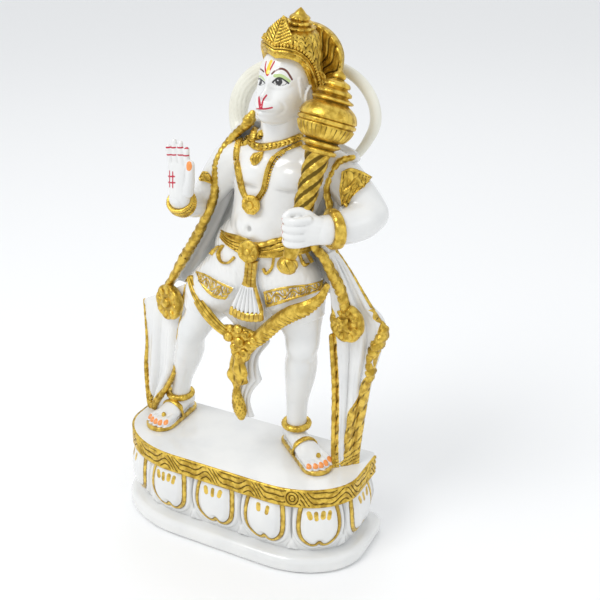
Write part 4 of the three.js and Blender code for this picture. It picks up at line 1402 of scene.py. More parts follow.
@dataclass
class Head:
    """The monkey face, the ears and the painted features, in a frame of its own."""

    turn: float = -9.0
    lean: float = 8.0
    centre: tuple[float, float, float] = (12.3, 0.0, 85.4)
    half_width: float = 16.2
    half_depth: float = 17.6
    crown: float = 24.6
    chin: float = 25.6
    voxel: float = 0.5
    passes: int = 4

    def frame(self) -> Matrix:
        """From the head's own sideways, backward and upward millimetres to the model's.

        Returns:
            The matrix.
        """
        return (Matrix.Translation(Vector(at(*self.centre)))
                @ Matrix.Rotation(math.radians(self.turn), 4, "Z")
                @ Matrix.Rotation(math.radians(self.lean), 4, "Y"))

    def face(self, bm: Mesh) -> None:
        """Adds the skull with its brow, sockets, nose, muzzle, lips and chin.

        Args:
            bm: the mesh that takes it.
        """
        new = bmesh.ops.create_uvsphere(bm, u_segments=200, v_segments=150, radius=1)["verts"]
        co = np.array([v.co for v in new])
        level = np.clip(co[:, 2], -1, 1)
        round_ = np.maximum(np.hypot(co[:, 0], co[:, 1]), 1e-6)
        sideways, backwards = co[:, 0] / round_, co[:, 1] / round_
        low = np.maximum(0, -level)
        full = np.sqrt(np.maximum(0, 1 - np.abs(level) ** np.where(level < 0, 3.6, 2.8)))
        x = sideways * full * (self.half_width - 2.8 * low)
        z = -0.2 + np.where(level < 0, self.chin, self.crown) * level
        ahead = smoothstep(0.0, 0.6, -backwards)
        side = np.abs(x)
        brow = 1.7 * swell(z - 9.4 + 0.03 * (side - 6.5) ** 2, 2.6) * swell(side - 5.5, 7.0)
        eye_z = 4.2 + 0.17 * x
        socket = 2.6 * swell(z - eye_z, 3.3) * swell(side - 7.0, 4.4)
        ball = 2.2 * swell(np.hypot((side - 7.0) / 4.1, (z - eye_z) / 2.5), 1.0)
        lid = 0.6 * swell(np.hypot((side - 7.0) / 4.9, (z - eye_z) / 3.0) - 1.0, 0.16)
        bridge = 2.4 * swell(x, 2.0) * smoothstep(-6.5, -1.5, z) * smoothstep(10.5, 3.0, z)
        tip = 2.2 * swell(np.hypot(x / 1.15, (z + 2.6) / 1.1), 2.3)
        wings = 0.9 * swell(np.hypot(side - 2.7, z + 3.4), 1.3)
        pinch = 1.0 * swell(z + 5.6, 1.0) * swell(x, 4.6)
        cheek = 1.5 * swell(np.hypot((side - 9.6) / 1.2, z + 3.2), 4.2)
        muzzle = 7.6 * swell(x, 9.8) * swell(z + 9.4, 5.4)
        lips = 0.9 * swell(x, 6.0) * swell(z + 9.6, 1.7) - 1.5 * swell(z + 11.7, 0.7) * swell(
            x - 0.6, 6.4)
        lower = 1.1 * swell(x, 4.6) * swell(z + 13.5, 1.4)
        chin = 7.6 * swell(x, 8.6) * swell(z + 18.4, 5.0)
        smile = 0.7 * swell((np.hypot((side - 2.0) / 1.0, (z + 8.6) / 0.8) - 8.6), 0.8) * (
            smoothstep(-15.0, -12.0, z) * smoothstep(-3.5, -6.5, z))
        philtrum = 0.4 * swell(x, 0.6) * swell(z + 8.6, 2.6)
        forward = (brow - socket + ball + lid + bridge + tip + wings - pinch + cheek + muzzle
                   + lips + lower + chin - smile - philtrum)
        y = 0.6 + self.half_depth * backwards * full - ahead * full * forward
        placed(new, np.stack([x, y, z], axis=1))

    def ears(self, bm: Mesh) -> None:
        """Adds the ears as flat shells with a rolled rim.

        Args:
            bm: the mesh that takes it.
        """
        for side in (-1, 1):
            add_ball(bm, (side * 16.0, 2.0, -2.2), (2.4, 5.0, 6.6))
            rim = [(side * 17.6, 2.0 - 4.8 * math.cos(a), -2.2 + 6.2 * math.sin(a), 0.9)
                   for a in np.linspace(-0.9, 4.0, 9)]
            add_limb(bm, rim, sides=14, share_units=False)

    def locks(self, bm: Mesh) -> None:
        """Adds the hair that frames the cheeks in front of the ears.

        Args:
            bm: the mesh that takes it.
        """
        for side in (-1, 1):
            lock = [(side * 14.2, -6.4, 8.6, 0.7, 1.6), (side * 15.2, -5.0, 3.6, 0.9, 2.2),
                    (side * 15.8, -3.2, -1.4, 0.9, 2.4), (side * 15.8, -1.4, -5.4, 0.6, 1.4)]
            add_limb(bm, lock, sides=14, share_units=False)

    def paint(self, skin: Mesh) -> None:
        """Marks brows, eyes, lids, the forehead mark and the red lines of nose and mouth.

        Args:
            skin: the remeshed form.
        """
        co, _ = arrays_of(skin)
        tree = BVHTree.FromBMesh(skin)
        depths = {}
        for layer, half_width, points in FACE_LINES:
            line = Line(points)
            pixels = line.get(line.even(16 * line.spans)) if len(points) > 1 else np.array(points)
            path = Sight().hits([tree], pixels)
            distance = (path_distance(co, path) if len(points) > 1
                        else np.linalg.norm(co - path, axis=1))
            depth = half_width - distance
            depths[layer] = np.maximum(depths.get(layer, UNMARKED), depth)
        for layer, depth in depths.items():
            marked(skin, layer, depth)

    def build(self, material: Finish) -> None:
        """Makes the head.

        Args:
            material: the finish.
        """
        place = self.frame()
        bm = bmesh.new()
        self.face(bm)
        self.ears(bm)
        self.locks(bm)
        bmesh.ops.transform(bm, verts=bm.verts, matrix=place)
        skin = remeshed(bm, self.voxel, self.passes)
        self.paint(skin)
        finished("figure_head", skin, material)


# The clothes.

def ridged(phase: Numbers, sharpness: float = 1.0) -> Array:
    """Rounded ridges between sharp grooves, 0 in a groove and 1 on a ridge."""
    return np.abs(np.sin(pi * np.asarray(phase, float))) ** sharpness


def leaves_on(along: Numbers, across: Numbers) -> Array:
    """Leaf strokes that hook away from a middle line, at most about 1 high.

    Args:
        along: how many leaves along the strip.
        across: -1 at one edge and 1 at the other.

    Returns:
        Their relief.
    """
    hook = along + 0.55 * np.abs(across) ** 1.4
    body = ridged(hook, 0.6) * (1 - np.abs(across) ** 4)
    return body * (0.75 + 0.25 * ridged(3 * hook)) + 0.5 * swell(across, 0.16)


def scroll_on(along: Numbers, level: Numbers) -> Array:
    """A waving stem with curled leaves at both sides, at most about 1 high.

    Args:
        along: how many waves along the strip.
        level: 0 at one edge and 1 at the other.

    Returns:
        Their relief.
    """
    stem = level - 0.5 - 0.2 * np.sin(2 * pi * along)
    curl = np.hypot((np.mod(2 * along, 1) - 0.5) * 1.6, (level - 0.5) * 1.3)
    rings = ridged(curl * 4.2) * swell(curl, 0.5)
    leaf = ridged(5 * along + 2.5 * stem ** 2, 0.7) * smoothstep(0.05, 0.2, np.abs(stem))
    return np.maximum(0.9 * swell(stem, 0.09), 0.8 * np.maximum(leaf * 0.7, rings))


def add_beads(bm: Mesh, line: Line, radius: float, gap: float = 0.0,
              sides: int = 10, flat: float = 1.0) -> None:
    """Adds a row of beads along a line in millimetres.

    Args:
        bm: the mesh.
        line: the row.
        radius: each bead's radius.
        gap: the free space between two beads.
        sides: faces round a bead.
        flat: a factor on the beads' height.
    """
    count = max(2, int(line.length() / (2 * radius + gap)) + 1)
    for place in line.get(line.even(count)):
        add_ball(bm, place, (radius, radius, radius * flat), sides=sides)


def add_band(bm: Mesh, limb: Limb, low: float, high: float, grow: float,
             relief: Callable, columns: int, rows: int,
             turns: tuple[float, float] = (0.0, 1.0), thickness: float = 1.6) -> None:
    """Adds a raised band round a limb.

    Args:
        bm: the mesh.
        limb: the form that it lies on.
        low: the share along the limb where the band starts.
        high: the share where it ends.
        grow: how far it stands off the limb.
        relief: gives its carving, from the shares round it and across it.
        columns: faces round it.
        rows: faces across it.
        turns: the first and the last share of a turn that it covers.
        thickness: how far it reaches inwards.
    """
    def surface(u: Array, v: Array) -> Array:
        """Points on the band.

        Args:
            u: shares across, 0 to 1.
            v: shares down, 0 to 1.

        Returns:
            The places as rows, in millimetres.
        """
        share = turns[1] + (turns[0] - turns[1]) * u
        t = low + (high - low) * v
        return limb.surface(t, 2 * pi * share, grow)

    add_sheet(bm, surface, columns, rows, thickness, relief)


def rolled(pitch: float, length: float, depth: float = 0.16) -> Callable:
    """The relief of a rolled edge with carved leaves along it.

    Args:
        pitch: the spacing of the leaves.
        length: the edge's length.
        depth: how deep it is.

    Returns:
        The relief, for add_limb.
    """
    def relief(t: Array, turn: Array) -> Array:
        """A factor on the girth, from the share along and the turn."""
        across = np.abs(((turn / pi) + 2) % 2 - 1) * 2 - 1
        return 1 + depth * (leaves_on(t * length / pitch, across) - 0.5)
    return relief


def line_at(points: Places) -> Line:
    """A smooth line through points in shares, in millimetres."""
    return Line([at(*point) for point in points])


def add_flower(bm: Mesh, centre: Point, facing: Point, radius: float, petals: int,
               boss: float = 0.3, square: bool = False) -> None:
    """Adds a carved flower with grooved petals round a boss.

    Args:
        bm: the mesh.
        centre: its middle, in millimetres.
        facing: where it faces.
        radius: its radius.
        petals: how many petals it has.
        boss: the boss's radius as a share of the flower's.
        square: True for a small square leaf on the boss.
    """
    def carve(height: Array, turn: Array) -> tuple[Array, float]:
        """Scalloped petals with a vein each.

        Args:
            height: heights, in millimetres.
            turn: turns round the axis, in radians.

        Returns:
            A factor on the radius, and an added turn.
        """
        petal = np.abs(np.sin(petals * turn / 2))
        rim = smoothstep(-0.5, 0.0, height / radius) * smoothstep(0.36, 0.2, height / radius)
        return 1 - 0.08 * rim * (1 - petal ** 0.6), 0.0

    profile = [(0, -0.45), (0.8, -0.4), (1.0, -0.12), (0.97, 0.1), (0.86, 0.15), (0.7, 0.12),
               (0.5, 0.16), (boss, 0.14), (boss * 0.86, 0.27), (boss * 0.4, 0.33), (0, 0.34)]
    add_turned(bm, [(r * radius, h * radius) for r, h in profile], centre, facing,
               sides=18 * petals, rings=6, relief=carve)
    axis = Vector(facing).normalized()
    turn = Vector((0, 0, 1)).rotation_difference(axis).to_matrix().to_4x4()
    for k in range(petals):
        angle = 2 * pi * (k + 0.5) / petals
        spot = Vector((math.cos(angle), math.sin(angle), 0)) * radius * 0.68
        spin = turn @ Matrix.Rotation(angle, 4, "Z")
        add_ball(bm, Vector(centre) + turn @ (spot + Vector((0, 0, radius * 0.14))),
                 (radius * 0.25, radius * 0.15, radius * 0.09), spin, sides=14)
    if square:
        spin = turn @ Matrix.Rotation(pi / 4, 4, "Z")
        for k in range(4):
            angle = pi / 2 * k
            spot = Vector((math.cos(angle), math.sin(angle), 0)) * radius * 0.22
            add_ball(bm, Vector(centre) + spin @ (spot + Vector((0, 0, radius * 0.3))),
                     (radius * 0.26, radius * 0.13, radius * 0.06),
                     spin @ Matrix.Rotation(angle, 4, "Z"), sides=14)


RIGHT_BORDER = [(3.4, 0.4, 76.6), (-0.4, 0.4, 73.0), (-2.5, -1.4, 68.8), (-3.0, -1.9, 64.6),
                (-3.9, -1.7, 60.1), (-8.8, -0.3, 51.6), (-13.3, 0.9, 45.1), (-19.8, 2.0, 35.2)]
LEFT_BORDER = [(26.6, 1.0, 72.8), (24.3, 0.0, 71.9), (23.2, -1.2, 69.6), (22.4, -1.9, 66.3),
               (23.0, -1.8, 63.0), (22.0, -1.3, 58.6), (19.6, -1.3, 54.2), (21.2, -0.4, 51.6),
               (22.9, 0.9, 47.2), (24.2, 2.0, 43.6), (25.0, 2.8, 39.6)]


@dataclass
class Shawl:
    """The shawl: a cape behind the body, rolled gold borders and two hanging ends."""

    thickness: float = 4.0
    right_end: tuple = (
        ((-27.8, 4.0, 30.0), (-27.8, 4.0, 19.5), (-28.8, 4.2, 12.0), (-28.9, 4.5, 2.6),
         (-28.7, 4.5, 0)),
        ((-13.6, 1.4, 38.0), (-17.0, 1.9, 24.8), (-19.4, 2.6, 13.4), (-26.4, 4.0, 2.2),
         (-27.3, 4.2, 0)))
    left_end: tuple = (
        ((21.2, -0.2, 52.0), (21.6, 0.6, 47.5), (21.9, 1.4, 41.0), (22.2, 1.8, 33.0),
         (22.9, 2.2, 20.0), (23.0, 2.0, 5.0), (23.2, 2.0, 0)),
        ((22.8, 1.6, 53.0), (25.6, 3.6, 47.5), (29.2, 5.5, 40.3), (32.3, 6.9, 34.4),
         (29.8, 6.2, 21.0), (27.7, 6.4, 5.0), (27.5, 6.4, 0)))

    def cape(self, bm: Mesh) -> None:
        """Adds the cape from one front edge round the back to the other.

        Args:
            bm: the mesh that takes it.
        """
        right, left = line_at(RIGHT_BORDER), line_at(LEFT_BORDER)

        def surface(u: Array, v: Array) -> Array:
            """Points on the cape's middle.

            Args:
                u: shares across, 0 to 1.
                v: shares down, 0 to 1.

            Returns:
                The places as rows, in millimetres.
            """
            start, end = right.get(v), left.get(v)
            turn = pi * u
            spread = (1 - np.cos(turn)) / 2
            round_ = np.maximum(np.sin(turn), 0) ** 0.6
            middle = start + (end - start) * spread[:, None]
            depth = (4.6 + 2.8 * np.minimum(1, 2.2 * v)) * SHARE
            middle[:, 1] += depth * round_ + self.thickness / 2
            return middle

        def folds(u: Array, v: Array) -> Array:
            """Hanging folds that deepen downwards.

            Args:
                u: shares across, 0 to 1.
                v: shares down, 0 to 1.

            Returns:
                How far the face stands out there.
            """
            deep = smoothstep(0.05, 0.6, v)
            wave = np.cos(2 * pi * 7 * u + 1.2 * np.sin(3 * v))
            return deep * (1.3 * wave + 0.5 * np.cos(2 * pi * 13 * u + 2 * v)) - 0.4

        add_sheet(bm, surface, 130, 90, self.thickness, folds)

    def end(self, bm: Mesh, inner: Sequence, outer: Sequence, folds: float,
            facing: Sequence[float], deep: float, gold: Callable) -> None:
        """Adds a hanging end with upright folds between two edges.

        Args:
            bm: the mesh.
            inner: its edge on the picture's left, in shares.
            outer: the other edge.
            folds: how many folds it has.
            facing: where its front faces.
            deep: how deep the folds are.
            gold: gives the gold mark's depth from u, v and the width in millimetres.
        """
        one, two = line_at(inner), line_at(outer)
        ahead = unit_rows(np.array([facing], float))[0]

        def surface(u: Array, v: Array) -> Array:
            """Points on the end's front.

            Args:
                u: shares across, 0 to 1.
                v: shares down, 0 to 1.

            Returns:
                The places as rows, in millimetres.
            """
            start, end = one.get(v), two.get(v)
            fold = 0.45 * SHARE * np.cos(2 * pi * folds * u) * np.sin(pi * v)
            middle = start + (end - start) * u[:, None]
            return middle + ahead * (self.thickness / 2 - fold)[:, None]

        def relief(u: Array, v: Array) -> Array:
            """Fine upright folds, and leaves where the paint is gold.

            Args:
                u: shares across, 0 to 1.
                v: shares down, 0 to 1.

            Returns:
                How far the face stands out there.
            """
            fine = ridged(folds * 2 * u + 0.3 * np.sin(5 * v), 0.8)
            width = np.linalg.norm(two.get(v) - one.get(v), axis=1)
            leafy = smoothstep(-0.3, 0.6, gold(u, v, width))
            leaf = ridged(24 * v + 3.0 * u, 0.6) * 0.9 + 0.4 * ridged(9 * u + 14 * v, 0.8)
            plain = deep * fine * smoothstep(0.0, 0.12, v)
            return (plain * (1 - leafy) + leaf * leafy) * smoothstep(0, 0.1, u * (1 - u) * 4)

        def marks(u: Array, v: Array) -> Array:
            """The gold mark's depth."""
            width = np.linalg.norm(two.get(v) - one.get(v), axis=1)
            return gold(u, v, width)

        add_sheet(bm, surface, 70, 230, self.thickness, relief, marks)

    def build(self, white: Finish, gold: Finish) -> None:
        """Makes the shawl's pieces.

        Args:
            white: the painted white.
            gold: the gold finish.
        """
        bm = bmesh.new()
        self.cape(bm)
        finished("shawl_cape", bm, white)
        bm = bmesh.new()
        self.end(bm, *self.right_end, 2, (-0.2, -1, 0), 0.7, self.right_gold)
        self.end(bm, *self.left_end, 3, (0.5, -1, 0), 0.9, self.left_gold)
        finished("shawl_ends", bm, white)
        bm = bmesh.new()
        right, left = self.right_end, self.left_end
        for points, girth, flat in (
                (RIGHT_BORDER, (0.9, 0.85, 0.85, 0.85, 0.95, 1.15, 1.2, 0.9), 0.9),
                (LEFT_BORDER, (0.5, 0.75, 0.75, 0.7, 0.75, 0.8, 0.85, 1.0, 1.15, 1.3, 1.3), 0.9),
                (left[0][3:], (0.55, 0.6, 0.55, 0.5), 1.2),
                (left[1][:3] + ((31.3, 6.5, 36.6),), (0.3, 0.3, 0.3, 0.3), 1.1),
                (((31.6, 6.4, 36.2), (32.0, 6.6, 34.0), (30.7, 6.0, 30.4), (29.5, 5.6, 27.4),
                  (29.7, 5.9, 24.4), (29.2, 5.7, 21.0)), (0.5, 1.3, 1.5, 0.8, 1.25, 0.7), 1.0),
                (right[1][1:], (0.35, 0.65, 0.75, 0.4), 1.2),
                (right[0], (0.3, 0.45, 0.6, 0.7, 0.5), 1.2)):
            stations = [(x, y - 0.45, z, r, r * flat) for (x, y, z), r in zip(points, girth)]
            length = line_at(points).length()
            add_limb(bm, stations, sides=18, rings=20, relief=rolled(5.5, length, 0.5))
        add_limb(bm, [(4.7, 0.2, 79.0, 0.6), (4.1, 0.0, 77.6, 1.25), (3.2, -0.2, 76.2, 0.9)],
                 sides=24, rings=10, relief=rolled(2.6, 9, 0.4))
        add_flower(bm, at(-18.3, -0.2, 32.9), (-0.35, -1, 0.1), 13.2, 8)
        add_flower(bm, at(25.5, 1.4, 36.6), (-0.2, -1, 0.1), 13.0, 8, square=True)
        finished("shawl_borders", bm, gold)

    @staticmethod
    def right_gold(u: Numbers, v: Numbers, width: float) -> Array:
        """The gold mark's depth on the right end: two borders that widen to the foot.

        Args:
            u: shares across, 0 to 1.
            v: shares down, 0 to 1.
            width: the end's width.

        Returns:
            The mark's depth inside its edge, in millimetres.
        """
        outer = 1.2 + 3.6 * smoothstep(0.2, 0.75, v) + 0.6 * np.sin(26 * v) - u * width
        inner = 1.6 + 1.4 * smoothstep(0.3, 0.8, v) + 0.5 * np.sin(31 * v) - (1 - u) * width
        return np.maximum(outer, inner)

    @staticmethod
    def left_gold(u: Numbers, v: Numbers, width: float) -> Array:
        """The gold mark's depth on the left end: a narrow strip, and leaves down the side.

        Args:
            u: shares across, 0 to 1.
            v: shares down, 0 to 1.
            width: the end's width.

        Returns:
            The mark's depth inside its edge, in millimetres.
        """
        strip = 3.0 * smoothstep(0.34, 0.4, v) - u * width
        jag = 0.07 * np.abs(np.sin(13 * pi * v))
        edge = 0.9 - 0.5 * smoothstep(0.6, 0.78, v) - 0.16 * smoothstep(0.9, 0.96, v) - jag
        leaf = np.minimum((u - edge) * width, (0.95 - u) * width)
        return np.maximum(strip, np.where(v > 0.36, leaf, UNMARKED))


# Edges of trims that lie on the body, as picture points: the upper edge, then the lower one.
RIGHT_PANEL = (((197.5, 271.5), (208.0, 274.4), (221.3, 281.2), (234.6, 287.0)),
               ((201.5, 282.5), (208.0, 291.0), (216.0, 296.6), (226.0, 298.0)))
LEFT_PANEL = (((264.6, 290.5), (278.0, 287.5), (293.0, 285.4), (308.0, 284.0), (321.4, 280.0)),
              ((268.0, 306.5), (281.0, 303.0), (296.0, 298.0), (309.0, 294.0), (319.0, 290.5)))
BELT = (((223.5, 230.5), (229.6, 236.6), (239.6, 240.5), (250.0, 243.0), (262.8, 242.0),
         (272.7, 238.8), (284.3, 236.0), (299.0, 231.5)),
        ((222.5, 238.8), (229.6, 246.0), (239.6, 252.5), (250.0, 256.5), (262.8, 257.0),
         (272.7, 256.5), (286.0, 252.0), (300.0, 246.0)))
BELT_CORDS = ((((223.5, 245.0), (219.3, 253.0), (221.5, 261.6), (228.6, 262.6), (235.0, 257.0)),
               1.3),
              (((219.6, 246.0), (215.4, 250.0), (211.2, 255.0)), 1.0),
              (((273.8, 257.0), (272.0, 267.5), (266.6, 273.6), (263.6, 268.6)), 1.5),
              (((299.0, 254.0), (303.4, 265.0), (307.6, 264.4)), 1.3),
              (((305.6, 252.0), (311.6, 263.0)), 1.1))
COLLAR = (((246.8, 131.5), (250.6, 138.6), (258.0, 142.6), (268.0, 142.6), (283.0, 139.6),
           (300.6, 133.0)),
          ((245.6, 138.6), (251.0, 147.6), (259.0, 151.0), (268.6, 150.0), (283.4, 145.6),
           (301.0, 138.6)))
COLLAR_LEAF = (((249.2, 141.0), (251.6, 134.0), (254.2, 127.6)),
               ((254.6, 143.0), (256.6, 136.6), (257.6, 128.8)))
DROP = (((250.4, 161.0), (254.0, 154.4), (264.0, 151.8)),
        ((252.6, 165.6), (257.6, 164.4), (262.4, 158.2)))
CHAINS = ((((245.4, 131.5), (239.2, 143.0), (237.2, 156.3), (239.6, 173.0), (243.2, 189.5),
            (247.4, 199.4)), 2.2),
          (((302.0, 143.6), (291.0, 147.4), (281.2, 151.6), (273.6, 158.4), (268.6, 168.0),
            (266.0, 178.0), (263.4, 189.5), (256.6, 199.6)), 2.0))
CHAIN_BEADS = ((283.6, 153.4), (276.0, 160.6), (271.2, 170.0), (268.6, 180.0), (265.6, 190.6),
               (260.0, 199.6))
LEFT_ARMLET = (((341.4, 172.4), (349.0, 169.6), (359.0, 173.0), (369.4, 179.4)),
               ((340.4, 190.0), (345.6, 207.6), (353.0, 196.0), (363.4, 187.0)))
RIGHT_ARMLET = (((202.0, 178.4), (206.4, 171.4), (210.6, 175.0)),
                ((202.6, 180.8), (208.0, 181.0), (213.6, 182.6)))


@dataclass
class Loincloth:
    """The short cloth round hips and thighs, with hems, belt, pleats and garland."""

    voxel: float = 0.95
    passes: int = 3
    hatch_pitch: float = 1.9
    right_thigh: tuple = ((2.4, 1.3, 45.6, 8.2, 7.1), (-2.6, 0.6, 41.2, 6.9, 6.9),
                          (-5.9, 0.1, 38.2, 6.2, 6.5), (-7.0, 0.0, 36.6, 5.9, 6.2))
    left_thigh: tuple = ((8.8, 1.3, 46.4, 8.1, 7.4), (12.4, 0.9, 43.6, 7.1, 7.2),
                         (14.2, 0.5, 40.6, 6.7, 6.9), (14.6, 0.4, 39.8, 6.3, 6.5))
    hips: tuple = ((4.6, 1.3, 42.5, 8.4, 6.4), (5.6, 1.3, 47.5, 11.0, 7.2),
                   (7.4, 1.1, 52.0, 9.9, 6.8))

    def cloth(self, bm: Mesh) -> Mesh:
        """Adds the cloth and carves its fine upright folds.

        Args:
            bm: the mesh that takes it.

        Returns:
            The cloth's mesh.
        """
        for stations in (self.right_thigh, self.left_thigh, self.hips):
            add_limb(bm, stations, sides=48, caps=2)
        skin = remeshed(bm, self.voxel, self.passes)
        co, normals = arrays_of(skin)
        flat = np.hypot(normals[:, 0], normals[:, 1]) ** 0.5
        phase = (co[:, 0] + 0.12 * (co[:, 2] - 200) + 1.2 * np.sin(co[:, 2] / 9)) / self.hatch_pitch
        worn = smoothstep(0.1, 0.6, np.sin(co[:, 0] * 0.21 + 1) * np.sin(co[:, 2] * 0.13) + 0.5)
        out = 0.32 * ridged(phase / 2, 0.7) * flat * (0.35 + 0.65 * worn)
        placed(skin.verts, co + normals * out[:, None])
        return skin

    def hems(self, bm: Mesh, trees: Sequence[BVHTree]) -> None:
        """Adds the framed scroll panels on the thighs, white between their gold lines.

        Args:
            bm: the mesh that takes it.
            trees: the trees that trims are laid on.
        """
        def carving(u: Array, v: Array, waves: float) -> Array:
            """A scroll between two ridged rims, at most about 1 high.

            Args:
                u: shares across, 0 to 1.
                v: shares down, 0 to 1.
                waves: the stem's waves.

            Returns:
                How far the face stands out there.
            """
            rim = np.maximum(smoothstep(0.2, 0.12, v), smoothstep(0.78, 0.86, v))
            side = smoothstep(0.035, 0.02, np.minimum(u, 1 - u))
            return np.maximum(np.maximum(rim, side), 1.1 * scroll_on(u * waves, v))

        for upper, lower, waves in ((*RIGHT_PANEL, 2.6), (*LEFT_PANEL, 3.6)):
            add_patch(bm, trees, upper, lower,
                      lambda u, v, waves=waves: 1.3 * carving(u, v, waves), (190, 44), 0.7, 1.8,
                      lambda u, v, waves=waves: 1.5 * (carving(u, v, waves) - 0.4))

    def rings(self, bm: Mesh) -> None:
        """Adds the plain gold hems that run on round the thighs.

        Args:
            bm: the mesh that takes it.
        """
        for stations, low, high in ((self.right_thigh, 0.8, 0.98), (self.left_thigh, 0.55, 0.72)):
            add_band(bm, Limb(stations), low, high, 0.4,
                     lambda u, v: 0.8 * scroll_on(u * 12, v), 260, 20, turns=(0.45, 1.02))

    def belt(self, bm: Mesh, trees: Sequence[BVHTree]) -> None:
        """Adds the ridged belt, its flower, its cords and the loops under it.

        Args:
            bm: the mesh that takes it.
            trees: the trees that trims are laid on.
        """
        def oval(height: Array, turn: Array) -> tuple[Array, float]:
            """The belt's oval plan with small slanted notches."""
            return 1 / np.hypot(np.cos(turn), np.sin(turn) * 10.3 / 7.2), 0.0

        half = 2.1 * SHARE
        girth = 10.3 * SHARE
        profile = [(0, -half), (0.93 * girth, -half)]
        for level in np.linspace(-0.92, 0.92, 17):
            ridge = 0.985 + 0.02 * math.cos(4 * pi * (level + 1))
            profile.append((ridge * girth, level * half))
        profile += [(0.93 * girth, half), (0, half)]
        add_turned(bm, profile, at(7.6, 1.1, 52.9), (-0.1, 0, 1), sides=160, rings=2,
                   smooth=False, relief=oval)

        def bands(u: Array, v: Array) -> Array:
            """Ridges along the belt, the lower ones notched."""
            notch = 0.45 * ridged(46 * u + 2 * v, 0.6) * smoothstep(0.3, 0.45, v)
            return 1.5 * ridged(4 * v, 0.55) + notch

        add_patch(bm, trees, *BELT, bands, (260, 40), 1.0, 2.6)
        add_flower(bm, at(7.5, -7.7, 52.7), (0, -1, 0.15), 7.4, 6)
        for path, half_width in BELT_CORDS:
            edges = beside(path, half_width)
            length = Line(path).length()
            add_patch(bm, trees, *edges, lambda u, v, n=length / 2.4: 1.3 * np.sqrt(
                np.maximum(0, 1 - (2 * v - 1) ** 2)) + 0.5 * ridged(n * u + v, 0.6),
                (int(3 * length), 12), 0.5, 1.5)

    def pleats(self, bm: Mesh) -> None:
        """Adds the pleated fall of cloth in front, with its gold hem and side.

        Args:
            bm: the mesh that takes it.
        """
        def half_width(v: Array) -> Array:
            """Half the fall's width, in shares."""
            return 1.3 + 2.7 * smoothstep(0.25, 1.0, v)

        def surface(u: Array, v: Array) -> Array:
            """Points on the fall's front.

            Args:
                u: shares across, 0 to 1.
                v: shares down, 0 to 1.

            Returns:
                The places as rows, in millimetres.
            """
            side = (u - 0.5) * 2 * half_width(v)
            flare = 0.5 * np.cos((u - 0.5) * pi) * v
            droop = 0.7 * (1 - np.abs(2 * u - 1) ** 2) * v
            rows = np.stack([7.9 - 1.0 * v + side, -7.2 - 0.5 * v - flare,
                             50.6 - 12.4 * v - droop], 1)
            return rows * SHARE + (0, 0, STAND)

        def folds(u: Array, v: Array) -> Array:
            """Sharp pleats that fan out downwards, a ridged strip and a scalloped hem.

            Args:
                u: shares across, 0 to 1.
                v: shares down, 0 to 1.

            Returns:
                How far the face stands out there.
            """
            fall = smoothstep(0.4, 0.5, v)
            pleat = 1.5 * ridged(7 * u, 0.7) * fall
            strip = (1 - fall) * (1.2 * ridged(3 * u, 0.6) + 0.4 * ridged(16 * v, 0.6))
            hem = smoothstep(0.86, 0.88, v)
            scallop = 1.3 + 1.1 * np.sqrt(np.maximum(0, 1 - (2 * np.mod(8 * u, 1) - 1) ** 2))
            return pleat * (1 - hem) + strip + hem * scallop

        def gold(u: Array, v: Array) -> Array:
            """The gold strip above, the hem and the side edge.

            Args:
                u: shares across, 0 to 1.
                v: shares down, 0 to 1.

            Returns:
                The mark's depth inside its edge, in millimetres.
            """
            wide = 2 * half_width(v) * SHARE
            hem = (v - 0.86 - 0.015 * np.cos(16 * pi * u)) * 12.4 * SHARE
            strip = (0.43 - v) * 12.4 * SHARE
            side = 1.9 - (1 - u) * wide
            return np.maximum(np.maximum(hem, strip), side)

        add_sheet(bm, surface, 120, 110, 4.4, folds, gold)

    def garland(self, bm: Mesh) -> None:
        """Adds the garland slung from thigh to thigh, its cluster of balls and its tassel.

        Args:
            bm: the mesh that takes it.
        """
        swag = [(-9.2, -4.0, 42.0, 0.9, 0.8), (-6.9, -5.6, 39.0, 1.3, 0.8),
                (-4.0, -6.4, 36.0, 1.25, 0.8), (-1.0, -6.4, 33.4, 1.05, 0.8),
                (1.6, -6.0, 31.8, 0.9, 0.8)]
        other = [(4.8, -5.6, 30.2, 1.1, 0.9), (7.9, -5.9, 32.0, 1.5, 0.9),
                 (11.0, -6.5, 35.2, 1.6, 0.9), (14.2, -7.2, 38.5, 1.55, 0.9),
                 (17.4, -7.6, 41.0, 1.6, 0.9), (20.5, -7.2, 42.8, 1.5, 0.9),
                 (22.6, -5.4, 44.6, 1.1, 0.8), (23.4, -3.8, 46.8, 0.6, 0.6)]

        def cords(t: Array, turn: Array) -> Array:
            """Four cords side by side."""
            return 1 + 0.16 * np.cos(8 * turn)

        def leaves(t: Array, turn: Array) -> Array:
            """A smooth upper edge, and slanted leaves along the lower half.

            Args:
                t: shares along the form, 0 to 1.
                turn: turns round the axis, in radians.

            Returns:
                A factor on the girth.
            """
            lower = smoothstep(0.3, -0.4, np.cos(turn))
            leaf = ridged(26 * t + 0.8 * np.cos(turn), 0.6) - 0.6
            return 1 + lower * 0.3 * leaf + (1 - lower) * 0.07 * np.cos(6 * turn)

